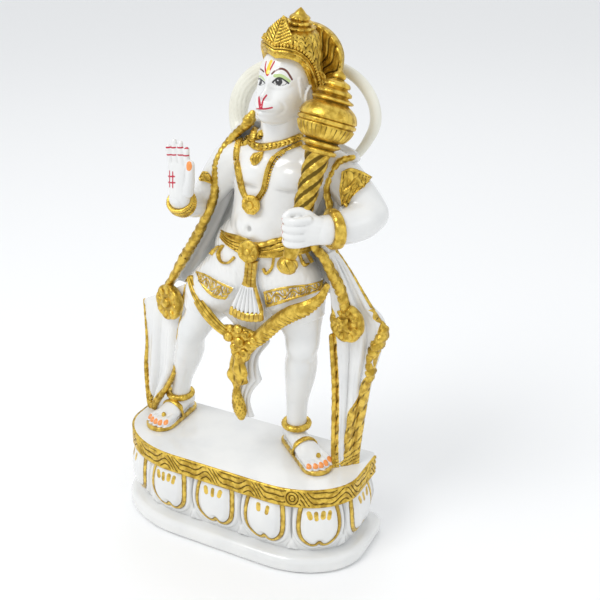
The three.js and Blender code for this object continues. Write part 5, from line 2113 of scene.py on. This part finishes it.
        add_limb(bm, swag, sides=64, rings=22, wide_axis=(0, 0, 1), relief=cords)
        add_limb(bm, other, sides=36, rings=26, wide_axis=(0, 0, 1), relief=leaves)
        add_limb(bm, [(0.2, -5.6, 32.8, 1.0, 0.7), (3.6, -5.9, 32.4, 2.0, 0.9),
                      (7.4, -5.6, 32.2, 1.5, 0.8)], sides=32, rings=10, wide_axis=(0, 0, 1),
                 relief=lambda t, turn: 1 + 0.1 * np.cos(9 * turn + 20 * t))
        for k, (x, z, size) in enumerate([
                (2.0, 33.6, 3.0), (4.0, 34.0, 3.4), (1.4, 31.6, 3.9), (4.2, 31.0, 4.1),
                (6.6, 30.6, 3.9), (7.6, 32.2, 2.8), (2.8, 29.4, 3.2), (5.2, 28.6, 3.0),
                (3.6, 27.4, 2.6), (6.0, 33.2, 2.8)]):
            y = -6.4 - 0.25 * (k % 2)
            add_ball(bm, at(x, y, z), (size, size * 0.8, size), sides=16)
            ring = [at(x + 0.26 * size * math.cos(a) / SHARE * 2, y - 0.62 * size / SHARE,
                       z + 0.26 * size * math.sin(a) / SHARE * 2)
                    for a in np.linspace(0, 2 * pi, 9)]
            add_beads(bm, Line(ring), 0.6, 0.5, sides=6)
        tassel = [(4.2, -5.6, 30.4, 2.9, 1.2), (3.7, -5.4, 27.4, 2.1, 1.2),
                  (3.0, -5.2, 25.4, 1.5, 1.0), (2.7, -5.0, 22.8, 2.2, 1.1),
                  (2.3, -4.8, 20.4, 2.1, 1.0), (2.0, -4.5, 18.6, 0.8, 0.8),
                  (1.7, -4.3, 16.4, 1.0, 0.9), (2.0, -4.1, 13.8, 1.55, 1.1),
                  (2.3, -3.9, 11.6, 1.5, 1.1), (2.4, -3.8, 10.2, 0.9, 0.8)]

        def ribbons(t: Array, turn: Array) -> Array:
            """Crossing ribbons above, a rough bulb below.

            Args:
                t: shares along the form, 0 to 1.
                turn: turns round the axis, in radians.

            Returns:
                A factor on the girth.
            """
            low = smoothstep(0.55, 0.62, t)
            above = 0.16 * np.cos(5 * turn + 16 * t) + 0.12 * np.cos(4 * turn - 25 * t)
            return 1 + (1 - low) * above + low * 0.1 * np.cos(9 * turn) * np.cos(90 * t)

        add_limb(bm, tassel, sides=56, rings=14, wide_axis=(1, 0, 0), relief=ribbons)

    def under_cloth(self, bm: Mesh) -> None:
        """Adds the jagged white cloth that falls behind the tassel.

        Args:
            bm: the mesh that takes it.
        """
        def surface(u: Array, v: Array) -> Array:
            """Points on the cloth.

            Args:
                u: shares across, 0 to 1.
                v: shares down, 0 to 1.

            Returns:
                The places as rows, in millimetres.
            """
            upper, lower = np.maximum(0, 1 - 5 * v), np.maximum(0, v - 0.2)
            jag = np.abs(np.sin(v * 3 * pi))
            start = 1.0 - 8.0 * upper
            end = 9.8 + 4.0 * upper - 6.4 * lower - 1.8 * jag
            rows = np.stack([start + (end - start) * u, -3.7 + 1.6 * u, 39.5 - 29.7 * v], 1)
            return rows * SHARE + (0, 0, STAND)

        add_sheet(bm, surface, 60, 130, 3.2,
                  lambda u, v: 0.9 * ridged(4 * u + 1.3 * v, 0.8) - 0.4)

    def build(self, white: Finish, gold: Finish,
              core: BVHTree) -> None:
        """Makes the cloth's pieces.

        Args:
            white: the white finish, with painted marks.
            gold: the gold finish.
            core: the trunk and the legs.
        """
        cloth = self.cloth(bmesh.new())
        trees = (core, BVHTree.FromBMesh(cloth))
        finished("loincloth", cloth, white)
        bm = bmesh.new()
        self.pleats(bm)
        self.under_cloth(bm)
        self.hems(bm, trees)
        finished("pleats", bm, white)
        bm = bmesh.new()
        self.rings(bm)
        self.belt(bm, trees)
        finished("hems_and_belt", bm, gold)
        bm = bmesh.new()
        self.garland(bm)
        finished("garland", bm, gold)


# The mace, the crown and the jewellery.

@dataclass
class Mace:
    """The mace held upright against the shoulder."""

    pommel: tuple[float, float, float] = (19.3, -12.8, 54.2)
    tip: tuple[float, float, float] = (24.1, -0.3, 89.4)
    shaft: float = 6.6
    ball: float = 17.3

    def build(self, gold: Finish) -> None:
        """Makes the mace.

        Args:
            gold: the gold finish.
        """
        foot = at(*self.pommel)
        axis = at(*self.tip) - foot
        length = float(np.linalg.norm(axis))
        bm = bmesh.new()
        shaft = [(0, 0.0), (0.5, 0.002), (0.6, 0.03), (0.7, 0.07),
                 (0.78, 0.18), (0.88, 0.28),
                 (0.98, 0.43), (1.08, 0.56), (1.12, 0.585), (0, 0.6)]

        def spiral(height: Array, turn: Array) -> tuple[Array, float]:
            """Broad flutes that wind round the shaft.

            Args:
                height: heights, in millimetres.
                turn: turns round the axis, in radians.

            Returns:
                A factor on the radius, and an added turn.
            """
            share = height / length
            on = smoothstep(0.1, 0.2, share) * smoothstep(0.6, 0.57, share)
            groove = 0.5 - 0.5 * np.cos(5 * turn - 26.0 * pi * share)
            return 1 + on * 0.25 * (groove ** 0.8 - 0.6), 0.0

        add_turned(bm, [(r * self.shaft, h * length) for r, h in shaft], foot, axis,
                   sides=130, rings=9, relief=spiral)
        head = [(0, 0.575), (0.5, 0.577), (0.6, 0.586), (0.6, 0.598),
                (0.5, 0.604), (0.56, 0.612), (0.68, 0.622), (0.68, 0.634),
                (0.56, 0.642), (0.74, 0.655), (0.88, 0.68), (0.96, 0.706),
                (0.98, 0.718), (0.94, 0.724), (1.01, 0.73), (1.02, 0.744),
                (0.95, 0.75), (1.01, 0.756), (0.99, 0.774), (0.9, 0.8),
                (0.72, 0.822), (0.6, 0.832), (0.58, 0.838), (0.7, 0.842),
                (0.72, 0.852), (0.58, 0.862), (0.5, 0.868), (0.52, 0.872),
                (0.6, 0.878), (0.58, 0.892), (0.46, 0.902), (0.4, 0.908),
                (0.42, 0.912), (0.48, 0.918), (0.44, 0.934), (0.3, 0.944),
                (0.2, 0.952), (0.24, 0.962), (0.2, 0.976), (0.08, 0.992),
                (0, 1.0)]

        def reeds(height: Array, turn: Array) -> tuple[Array, float]:
            """Upright reeds below the equator.

            Args:
                height: heights, in millimetres.
                turn: turns round the axis, in radians.

            Returns:
                A factor on the radius, and an added turn.
            """
            share = height / length
            on = smoothstep(0.645, 0.66, share) * smoothstep(0.722, 0.712, share)
            return 1 + on * 0.06 * (ridged(17 * turn / pi, 0.6) - 0.6), 0.0

        add_turned(bm, [(r * self.ball, h * length) for r, h in head], foot, axis,
                   sides=230, rings=4, relief=reeds)
        end = [(0, -0.052), (0.4, -0.05), (0.62, -0.042), (0.84, -0.028),
               (0.92, -0.006), (0.86, 0.014), (0.66, 0.03), (0, 0.04)]
        add_turned(bm, [(r * self.shaft, h * length) for r, h in end], foot, axis,
                   sides=96, rings=6, relief=lambda height, turn: (1 + 0.2 * (ridged(
                       2.5 * turn / pi + 16 * height / length, 0.6) - 0.6), 0.0))
        finished("mace", bm, gold)


@dataclass
class Crown:
    """The crown: a fluted dome, a ridged band with leaves, a knob and a ribbed plate."""

    reach: float = 150.0
    leaf_count: int = 27
    base: float = 7.2
    half_width: float = 5.35
    half_depth: float = 5.75
    leaf_half: float = 0.62
    leaf_rise: float = 3.2
    plate_foot: float = -4.2
    plate_crest: float = 11.1
    plate_half: float = 7.4
    shift: tuple[float, float, float] = (1.8, 1.6, 0.0)

    def drop(self, turn: Numbers) -> Array:
        """How far the hair line falls from the brow to the back, in shares.

        Args:
            turn: turns round the axis, in radians.

        Returns:
            The fall.
        """
        part = np.abs(turn) / (pi / 2)
        arch = 0.6 * np.sin(pi * np.minimum(part / 0.85, 1))
        return np.minimum(1.2 * part ** 2 + 4.8 * part ** 4, 8.6) - arch

    def band_point(self, turn: Numbers, out: Numbers, up: Numbers) -> Array:
        """Points on the hair line, in shares: high over the brow, low behind the ears.

        Args:
            turn: turns round the axis, in radians.
            out: how far out.
            up: how far up.

        Returns:
            The points as rows.
        """
        return np.stack([(self.half_width + out) * np.sin(turn),
                         0.3 - (self.half_depth + out) * np.cos(turn),
                         self.base - self.drop(turn) + up], axis=1)

    def leaf_height(self, turn: Numbers) -> Array:
        """How far the leaves stand over the hair line, in shares.

        Args:
            turn: turns round the axis, in radians.

        Returns:
            The height.
        """
        point = np.maximum(0, 1 - np.abs(turn) / self.leaf_half)
        near = smoothstep(-1.15, -0.5, turn)
        return 0.7 + near * (1.2 + 1.3 * swell(turn, 0.7)) + self.leaf_rise * point

    def band(self, bm: Mesh) -> None:
        """Adds the band: two ridges, beads, upright leaves and the tall middle leaf.

        Args:
            bm: the mesh that takes it.
        """
        reach = math.radians(self.reach)

        def surface(u: Array, v: Array) -> Array:
            """Points on the leaves' face, from their tips down.

            Args:
                u: shares across, 0 to 1.
                v: shares down, 0 to 1.

            Returns:
                The places as rows, in millimetres.
            """
            turn = (2 * u - 1) * reach
            tip = np.abs(np.cos(pi * self.leaf_count * u)) ** 0.7
            plain = smoothstep(0.6, 0.4, np.abs(turn))
            top = self.leaf_height(turn) * (0.86 + 0.14 * np.maximum(tip, plain))
            rise = top + (-0.1 - top) * v
            inwards = 0.44 * np.maximum(0, rise - 1.8)
            return self.band_point(turn, 0.6 - inwards, rise) * SHARE

        def relief(u: Array, v: Array) -> Array:
            """Ridges below, veined leaves above and the middle leaf's strokes.

            Args:
                u: shares across, 0 to 1.
                v: shares down, 0 to 1.

            Returns:
                How far the face stands out there.
            """
            turn = (2 * u - 1) * reach
            top = self.leaf_height(turn)
            up = -0.1 + (1 - v) * (top + 0.1)
            ridges = 1.3 * (swell(up - 0.2, 0.24) + swell(up - 0.85, 0.24))
            leaf = ridged(self.leaf_count * u + 0.5, 0.5)
            vein = 0.5 * swell(np.mod(self.leaf_count * u, 1) - 0.5, 0.12)
            zone = smoothstep(1.2, 1.6, up)
            middle = smoothstep(0.55, 0.42, np.abs(turn))
            strokes = 1.1 * ridged(1.7 * up - 4.2 * np.abs(turn), 0.6) + 0.8 * swell(turn, 0.05)
            return ridges + zone * ((1.1 * leaf - vein) * (1 - middle) + strokes * middle) - 0.3

        add_sheet(bm, surface, 330, 66, 2.6, relief)
        turns = np.linspace(-math.radians(32), math.radians(115), 60)
        row = Line(self.band_point(turns, 1.0, 1.45) * SHARE)
        add_beads(bm, row, 0.95, 0.1, sides=8)

    def dome(self, bm: Mesh) -> None:
        """Adds the fluted dome with its knob and finial, on the hair line.

        Args:
            bm: the mesh that takes it.
        """
        profile = Line([(1.0, 6.0), (1.02, 6.9), (1.0, 7.8), (0.94, 8.7), (0.84, 9.5),
                        (0.7, 10.2), (0.57, 10.7), (0.5, 10.95), (0.56, 11.1), (0.57, 11.35),
                        (0.46, 11.55), (0.36, 11.7), (0.43, 11.9), (0.43, 12.25), (0.34, 12.45),
                        (0.28, 12.55), (0.34, 12.8), (0.31, 13.2), (0.22, 13.55), (0.12, 14.2),
                        (0, 14.8)])
        rings = 6 * profile.spans + 6

        def shape(ring: Array, turn: Array) -> Array:
            """Points on one ring at each turn.

            Args:
                ring: the rings' numbers.
                turn: turns round the axis, in radians.

            Returns:
                The places as rows, in millimetres.
            """
            width, level = profile.get(np.clip((ring - 6) / (rings - 6), 0, 1)).T
            width = width * np.minimum(1, ring / 6)
            leaf = np.abs(np.sin(9 * turn))
            flute = 0.5 * leaf ** 0.5 + 0.5 * ridged(1.7 * level - 1.1 * leaf, 0.6)
            low = smoothstep(6.4, 7.2, level) * smoothstep(10.8, 10.4, level)
            high = smoothstep(11.0, 11.15, level) * smoothstep(13.3, 12.9, level)
            width = width * (1 + 0.17 * low * (flute - 0.5)
                             + 0.14 * high * (ridged(6 * turn / pi, 0.6) - 0.6))
            follow = smoothstep(10.4, 7.0, level)
            aside = 0.42 * smoothstep(9.6, 11.8, level)
            rows = [aside + 5.45 * width * np.sin(turn), 0.3 - 5.85 * width * np.cos(turn),
                    level - follow * self.drop(np.mod(turn + pi, 2 * pi) - pi)]
            return np.stack(rows, axis=1) * SHARE

        absorb(bm, closed_tube(190, rings, shape))

    def plate(self, bm: Mesh) -> None:
        """Adds the round-topped plate with its wavy ribs.

        Args:
            bm: the mesh that takes it.
        """
        foot, crest, half = self.plate_foot, self.plate_crest, self.plate_half

        def surface(u: Array, v: Array) -> Array:
            """Points on the plate's face.

            Args:
                u: shares across, 0 to 1.
                v: shares down, 0 to 1.

            Returns:
                The places as rows, in millimetres.
            """
            side = 2 * u - 1
            top = foot + (crest - foot) * (0.62 + 0.38 * np.sqrt(np.maximum(0, 1 - side ** 2)))
            height = top + (foot - top) * v
            return np.stack([side * half, 5.2 + 0 * u, height], 1) * SHARE

        def ribs(u: Array, v: Array) -> Array:
            """Wavy strands that run from the middle of the foot to the rim.

            Args:
                u: shares across, 0 to 1.
                v: shares down, 0 to 1.

            Returns:
                How far the face stands out there.
            """
            side, level = (2 * u - 1) * half, (1 - v) * (crest - foot) + 2.5
            turn = np.arctan2(side, level)
            reach = np.hypot(side, level)
            phase = 34 * turn / pi + 0.35 * np.sin(0.8 * reach)
            return 1.0 * ridged(phase, 0.6) + 0.3 * ridged(2 * phase, 0.8) - 0.4

        add_sheet(bm, surface, 210, 90, 4.4, ribs)

    def sides(self, bm: Mesh) -> None:
        """Adds the flower discs over the ears and the hanging strips behind them.

        Args:
            bm: the mesh that takes it.
        """
        for side in (-1, 1):
            add_flower(bm, (side * 17.2, 3.2, 7.4), (side, -0.6, 0), 5.4, 7)
            strip = [(side * 17.4, 4.6, 2.0, 2.0, 1.4), (side * 17.2, 7.4, -5.0, 1.8, 1.2),
                     (side * 16.4, 9.6, -12.0, 1.3, 1.0)]
            add_limb(bm, strip, sides=16, rings=16, share_units=False,
                     relief=rolled(2.6, 16, 0.25))

    def build(self, gold: Finish, place: Matrix) -> None:
        """Makes the crown on the head's frame.

        Args:
            gold: the gold finish.
            place: the place it has.
        """
        bm = bmesh.new()
        self.band(bm)
        self.dome(bm)
        self.plate(bm)
        self.sides(bm)
        bmesh.ops.transform(bm, verts=bm.verts,
                            matrix=place @ Matrix.Translation(Vector(self.shift)))
        finished("crown", bm, gold)


@dataclass
class Jewellery:
    """Collar, chain, armlets, bracelets and anklets."""

    def strings(self, bm: Mesh, core: BVHTree) -> None:
        """Adds the collar with its leaves and drop, and the long chain with its flower.

        Args:
            bm: the mesh that takes it.
            core: the trunk and the legs as a tree.
        """
        trees = (core,)

        def leafy(u: Array, v: Array) -> Array:
            """Slanted leaves between two fine rims."""
            return 0.7 + 1.3 * leaves_on(15 * u, 2 * v - 1)

        add_patch(bm, trees, *COLLAR, leafy, (190, 22), 0.8, 2.2)
        add_patch(bm, trees, *COLLAR_LEAF, lambda u, v: 1.6 * np.sin(pi * v)
                  + 0.5 * ridged(7 * u, 0.6), (40, 16), 0.6, 2.0)
        add_patch(bm, trees, *DROP, lambda u, v: 1.8 * np.sin(pi * u) * np.sin(
            pi * v) + 0.8 * ridged(3 * u + 2 * v, 0.6), (36, 30), 0.8, 2.0)
        for path, half_width in CHAINS:
            add_patch(bm, trees, *beside(path, half_width),
                      lambda u, v: 1.2 * ridged(3 * v, 0.6) + 0.4 * ridged(60 * u, 0.7),
                      (160, 15), 0.6, 1.8)
        pixels = Line(CHAIN_BEADS)
        beads = Sight().hits(trees, pixels.get(pixels.even(40)))
        add_beads(bm, Line(beads[::3]), 0.8, 0.15, sides=8)
        add_flower(bm, at(7.5, -6.2, 62.2), (0, -1, 0.05), 6.4, 8, boss=0.4)

    def arms(self, bm: Mesh, skin: BVHTree) -> None:
        """Adds the armlets and the bracelets.

        Args:
            bm: the mesh that takes it.
            skin: the remeshed form.
        """
        def leaf(u: Array, v: Array) -> Array:
            """Curled leaves inside a rim."""
            rim = smoothstep(0.09, 0.05, np.minimum(np.minimum(u, 1 - u), np.minimum(v, 1 - v)))
            return 0.5 + 1.2 * np.maximum(rim, scroll_on(1.3 * u, v))

        for edges in (LEFT_ARMLET, RIGHT_ARMLET):
            add_patch(bm, (skin,), *edges, leaf, (70, 60), 0.9, 2.2)
        wrist_right = Limb([(-8.0, -6.4, 60.3, 2.5), (-7.9, -7.8, 60.9, 2.4),
                            (-7.8, -8.8, 61.9, 2.2)])
        wrist_left = Limb([(27.0, -5.6, 60.5, 3.3), (25.8, -7.2, 60.5, 2.95),
                           (24.8, -8.4, 60.6, 2.8)], (0, 0, 1))
        add_band(bm, wrist_right, 0.1, 0.9, 0.9,
                 lambda u, v: 0.9 * ridged(3 * v, 0.6) + 0.4 * ridged(40 * u), 240, 40)
        add_band(bm, wrist_left, 0.15, 0.7, 1.3,
                 lambda u, v: 1.6 * np.sqrt(np.maximum(0, 1 - (2 * v - 1) ** 2))
                 + 0.3 * ridged(14 * u), 200, 30)

    def legs(self, bm: Mesh) -> None:
        """Adds the twisted anklets.

        Args:
            bm: the mesh that takes it.
        """
        for x, y, z in ((-20.8, 6.0, 5.2), (11.7, 5.4, 6.1)):
            ring = [(x + 2.75 * math.cos(a), y + 2.75 * math.sin(a), z, 0.75)
                    for a in np.linspace(0, 6.1, 14)]
            add_limb(bm, ring, sides=20, rings=14, wide_axis=(0, 0, 1),
                     relief=lambda t, turn: 1 + 0.22 * (ridged(24 * t + turn / pi, 0.6)
                                                        - 0.6))

    def build(self, gold: Finish, core: BVHTree, skin: BVHTree) -> None:
        """Makes the jewellery.

        Args:
            gold: its finish.
            core: the trunk and the legs.
            skin: the whole skin.
        """
        bm = bmesh.new()
        self.strings(bm, core)
        self.arms(bm, skin)
        self.legs(bm)
        finished("jewellery", bm, gold)


# The feet and the tail.

@dataclass
class Foot:
    """A sandalled foot, in a frame from its heel to its toe."""

    name: str
    heel: tuple[float, float]
    toe: tuple[float, float]
    heel_half: float = 2.4
    toe_half: float = 3.7
    sole: float = 3.4
    toe_pitch: float = 1.3
    toe_reach: float = 2.3
    toe_bow: float = 0.13
    toe_sizes: tuple[float, ...] = (0.62, 0.64, 0.68, 0.72, 0.86)
    nail: float = 1.9
    voxel: float = 0.7
    passes: int = 3

    def frame(self) -> Matrix:
        """From the foot's own millimetres, with +X to the toe, to the model's."""
        turn = math.atan2(self.toe[1] - self.heel[1], self.toe[0] - self.heel[0])
        return Matrix.Translation(Vector(at(*self.heel, 0))) @ Matrix.Rotation(turn, 4, "Z")

    def length(self) -> float:
        """From heel centre to toe centre, in shares."""
        return math.dist(self.heel, self.toe)

    def skin(self, bm: Mesh) -> None:
        """Adds the instep, the heel and five toes.

        Args:
            bm: the mesh that takes it.
        """
        long = self.length()
        top = self.sole / SHARE
        rows = [(-0.4, 0, top + 1.7, 1.9, 2.1), (1.2, 0, top + 2.2, 2.1, 2.6),
                (long * 0.45, 0, top + 1.6, 2.6, 2.1), (long * 0.7, 0, top + 1.0, 3.0, 1.5),
                (long * 0.95, 0, top + 0.6, 3.1, 1.0)]
        add_limb(bm, [(x * SHARE, y * SHARE, z * SHARE, a * SHARE, b * SHARE)
                      for x, y, z, a, b in rows], sides=36, wide_axis=(0, 1, 0),
                 share_units=False)
        for number, size in enumerate(self.toe_sizes):
            side = (number - 2) * self.toe_pitch
            reach = long + self.toe_reach - self.toe_bow * side ** 2
            toe = [(long * 0.8, side * 0.9, top + 0.9, size), (reach - 1.2, side, top + 0.8, size),
                   (reach - 0.2, side * 1.02, top + 0.45, size * 0.9)]
            add_limb(bm, [(x * SHARE, y * SHARE, z * SHARE, r * SHARE) for x, y, z, r in toe],
                     sides=20, wide_axis=(0, 1, 0), share_units=False)

    def sandal(self, bm: Mesh) -> None:
        """Adds the sole.

        Args:
            bm: the mesh that takes it.
        """
        long = self.length() * SHARE
        heel, toe = self.heel_half * SHARE, self.toe_half * SHARE
        lean = math.asin((toe - heel) / long)
        angles = np.linspace(pi / 2 + lean, 3 * pi / 2 - lean, 40)
        rim = [(heel * math.cos(a), heel * math.sin(a)) for a in angles]
        angles = np.linspace(-pi / 2 - lean, pi / 2 + lean, 60)
        rim += [(long + toe * math.cos(a), toe * math.sin(a)) for a in angles]
        low = [bm.verts.new((x, y, 0)) for x, y in rim]
        face = bm.faces.new(low)
        lifted = bmesh.ops.extrude_face_region(bm, geom=[face])["geom"]
        upper = [item for item in lifted if isinstance(item, bmesh.types.BMVert)]
        bmesh.ops.translate(bm, verts=upper, vec=(0, 0, self.sole))

    def straps(self, bm: Mesh) -> None:
        """Adds the strap over the instep and the toe knob.

        Args:
            bm: the mesh that takes it.
        """
        long = self.length() * SHARE
        top = self.sole
        share, high, half = 0.5, 12.9, 9.0
        arch = [(long * share, -half, top + 0.6),
                (long * (share + 0.03), -half * 0.8, top + high * 0.6),
                (long * (share + 0.05), 0, top + high - 2.0),
                (long * (share + 0.03), half * 0.8, top + high * 0.6),
                (long * share, half, top + 0.6)]
        add_limb(bm, [(*point, 1.0, 2.2) for point in arch], sides=20, rings=14,
                 wide_axis=(0, 0, 1), share_units=False, relief=rolled(3.0, 34, 0.2))
        add_ball(bm, (long * 0.98, 2.0, top + 5.4), (1.7, 1.7, 2.2), sides=16)

    def build(self, white: Finish, gold: Finish) -> None:
        """Makes the foot's pieces.

        Args:
            white: the painted white.
            gold: the gold finish.
        """
        place = self.frame()
        bm = bmesh.new()
        self.skin(bm)
        self.sandal(bm)
        bmesh.ops.transform(bm, verts=bm.verts, matrix=place)
        skin = remeshed(bm, self.voxel, self.passes)
        co, _ = arrays_of(skin)
        local = np.array([place.inverted() @ Vector(row) for row in co])
        long, top = self.length() * SHARE, self.sole
        gold_edge = np.minimum(top + 0.1 - local[:, 2], 3.0)
        marked(skin, "gold", np.where(local[:, 2] < top + 2, gold_edge, UNMARKED))
        nails = np.full(len(co), UNMARKED)
        for number in range(len(self.toe_sizes)):
            side = (number - 2) * self.toe_pitch
            reach = (self.length() + self.toe_reach - self.toe_bow * side ** 2) * SHARE
            spot = np.hypot(local[:, 0] - reach + 0.3, local[:, 1] - side * SHARE * 1.02)
            depth = np.where(local[:, 2] > top + 0.8, self.nail - spot, UNMARKED)
            nails = np.maximum(nails, depth)
        marked(skin, "orange", nails)
        finished(f"foot_{self.name}", skin, white)
        bm = bmesh.new()
        self.straps(bm)
        bmesh.ops.transform(bm, verts=bm.verts, matrix=place)
        finished(f"sandal_{self.name}", bm, gold)


@dataclass
class Tail:
    """The tail's loop, glued in at both shoulders."""

    path: tuple = ((23.5, 5.4, 69.8), (25.6, 8.6, 73.2), (26.9, 10.2, 77.4), (25.6, 10.6, 82.2),
                   (21.6, 10.5, 86.2), (13.9, 10.5, 88.5), (6.0, 10.5, 87.4), (-0.6, 10.6, 83.9),
                   (-4.2, 10.8, 79.0), (-4.6, 10.0, 73.6), (-1.4, 5.8, 69.3))
    slim: float = 7.2
    full: float = 14.5

    def build(self, cream: Finish) -> None:
        """Makes the tail.

        Args:
            cream: the tail's finish.
        """
        stations = []
        for i, (x, y, z) in enumerate(self.path):
            share = i / (len(self.path) - 1)
            ends = 0.68 + 0.32 * min(1, share * 6, (1 - share) * 4)
            tuft = float(smoothstep(0.55, 0.8, share) * smoothstep(1.02, 0.9, share))
            girth = (self.slim + (self.full - self.slim) * tuft) / 2
            stations.append((x, y, z, self.slim * ends / 2 / SHARE * (1 + 0.4 * tuft),
                             girth * ends / SHARE))
        bm = bmesh.new()

        def strands(t: Array, turn: Array) -> Array:
            """Long strands of hair on the tuft.

            Args:
                t: shares along the form, 0 to 1.
                turn: turns round the axis, in radians.

            Returns:
                A factor on the girth.
            """
            tuft = smoothstep(0.55, 0.7, t)
            strand = ridged(7 * turn / pi + 5 * t + 0.7 * np.sin(14 * t), 0.7)
            return 1 + 0.1 * tuft * (strand - 0.6) + 0.02 * (1 - tuft) * np.sin(3 * turn + 20 * t)

        add_limb(bm, stations, sides=84, rings=34, wide_axis=(0, 1, 0), relief=strands)
        finished("tail_loop", bm, cream, ("tail",))


# The stage.

@dataclass
class Stage:
    """The floor, the studio light and the camera at the photograph's view."""

    sight: Sight = Sight()
    sensor: float = 36.0
    floor_half: float = 20.0

    def camera(self) -> None:
        """Makes the camera."""
        axes = view_from(self.sight.azimuth, self.sight.elevation)
        turn = Matrix(axes).transposed().to_4x4()
        data = bpy.data.cameras.new("camera")
        data.sensor_width = self.sensor
        data.lens = self.sight.focal_pixels * self.sensor / (2 * self.sight.middle)
        camera = bpy.data.objects.new("camera", data)
        camera.matrix_world = Matrix.Translation(Vector(self.sight.place) * MM) @ turn
        bpy.context.scene.collection.objects.link(camera)
        bpy.context.scene.camera = camera

    def floor(self) -> None:
        """Makes the pale floor."""
        bm = bmesh.new()
        bmesh.ops.create_grid(bm, x_segments=1, y_segments=1, size=self.floor_half)
        mesh = bpy.data.meshes.new("floor")
        bm.to_mesh(mesh)
        bm.free()
        book = Book("floor_white")
        mesh.materials.append(book.finish(base_color=(0.93, 0.93, 0.93, 1), roughness=0.7))
        floor = bpy.data.objects.new("floor", mesh)
        bpy.context.scene.collection.objects.link(floor)

    def lamp(self, name: str, azimuth: float, elevation: float, distance: float, size: float,
             power: float) -> None:
        """Makes one soft lamp that looks at the figure's middle.

        Args:
            name: its name.
            azimuth: its direction seen from above, in degrees.
            elevation: its height, in degrees.
            distance: how far off it is.
            size: its width.
            power: its power, in watts.
        """
        middle = Vector((0, 0, 0.2))
        _, _, back = view_from(azimuth, elevation)
        data = bpy.data.lights.new(name, "AREA")
        data.shape = "SQUARE"
        data.size = size
        data.energy = power
        lamp = bpy.data.objects.new(name, data)
        lamp.location = middle + back * distance
        lamp.rotation_mode = "QUATERNION"
        lamp.rotation_quaternion = back.to_track_quat("Z", "Y")
        bpy.context.scene.collection.objects.link(lamp)

    def light(self) -> None:
        """Makes the lamps and the pale surroundings."""
        self.lamp("key", -20, 52, 1.4, 0.6, 7.5)
        self.lamp("fill", 85, 25, 1.8, 0.8, 1.6)
        self.lamp("back", 200, 50, 1.7, 0.8, 2.0)
        world = bpy.data.worlds.new("surroundings")
        bpy.context.scene.world = world
        world.use_nodes = True
        background = world.node_tree.nodes["Background"]
        background.inputs["Color"].default_value = (0.96, 0.98, 1.0, 1)
        background.inputs["Strength"].default_value = 0.85

    def build(self) -> None:
        """Makes the camera, the floor and the light."""
        self.camera()
        self.floor()
        self.light()
        bpy.context.scene.view_settings.view_transform = "Standard"


def main() -> None:
    """Builds the pieces in order."""
    logging.basicConfig(level=logging.INFO, format="%(relativeCreated)d ms %(message)s")
    Stage().build()
    gold = GoldPaint().material()
    plinth_white = CastWhite("plinth_white").material()
    Plinth().build(plinth_white, gold)
    skin_white = CastWhite("skin_white", layers=(
        ("red", Paint.RED.value), ("orange", Paint.ORANGE.value)), gold=False).material()
    body = Body()
    skin = body.build(skin_white)
    core = body.core()
    face_white = CastWhite("face_white", gold=False, edge=0.1, layers=(
        ("green", Paint.GREEN.value), ("black", Paint.BLACK.value),
        ("brown", Paint.BROWN.value), ("red", Paint.RED.value),
        ("yellow", Paint.YELLOW.value), ("glint", Paint.GLINT.value))).material()
    head = Head()
    head.build(face_white)
    cloth_white = CastWhite("cloth_white").material()
    Shawl().build(cloth_white, gold)
    Loincloth().build(cloth_white, gold, core)
    Mace().build(gold)
    Crown().build(gold, head.frame())
    Jewellery().build(gold, core, skin)
    foot_white = CastWhite("foot_white", layers=(("orange", Paint.ORANGE.value),)).material()
    Foot("right", (-20.3, 7.7), (-21.6, -1.4)).build(foot_white, gold)
    Foot("left", (9.9, 6.2), (19.8, -0.5)).build(foot_white, gold)
    # The tail's finish also greys its recesses as painted shade.
    cream = CastWhite("tail_cream", base=(0.80, 0.79, 0.69, 1), cloud=(0.74, 0.72, 0.61, 1),
                      recess=(0.45, 0.43, 0.34, 1), roughness=0.3, gold=False).material()
    Tail().build(cream)


if __name__ == "__main__":
    main()
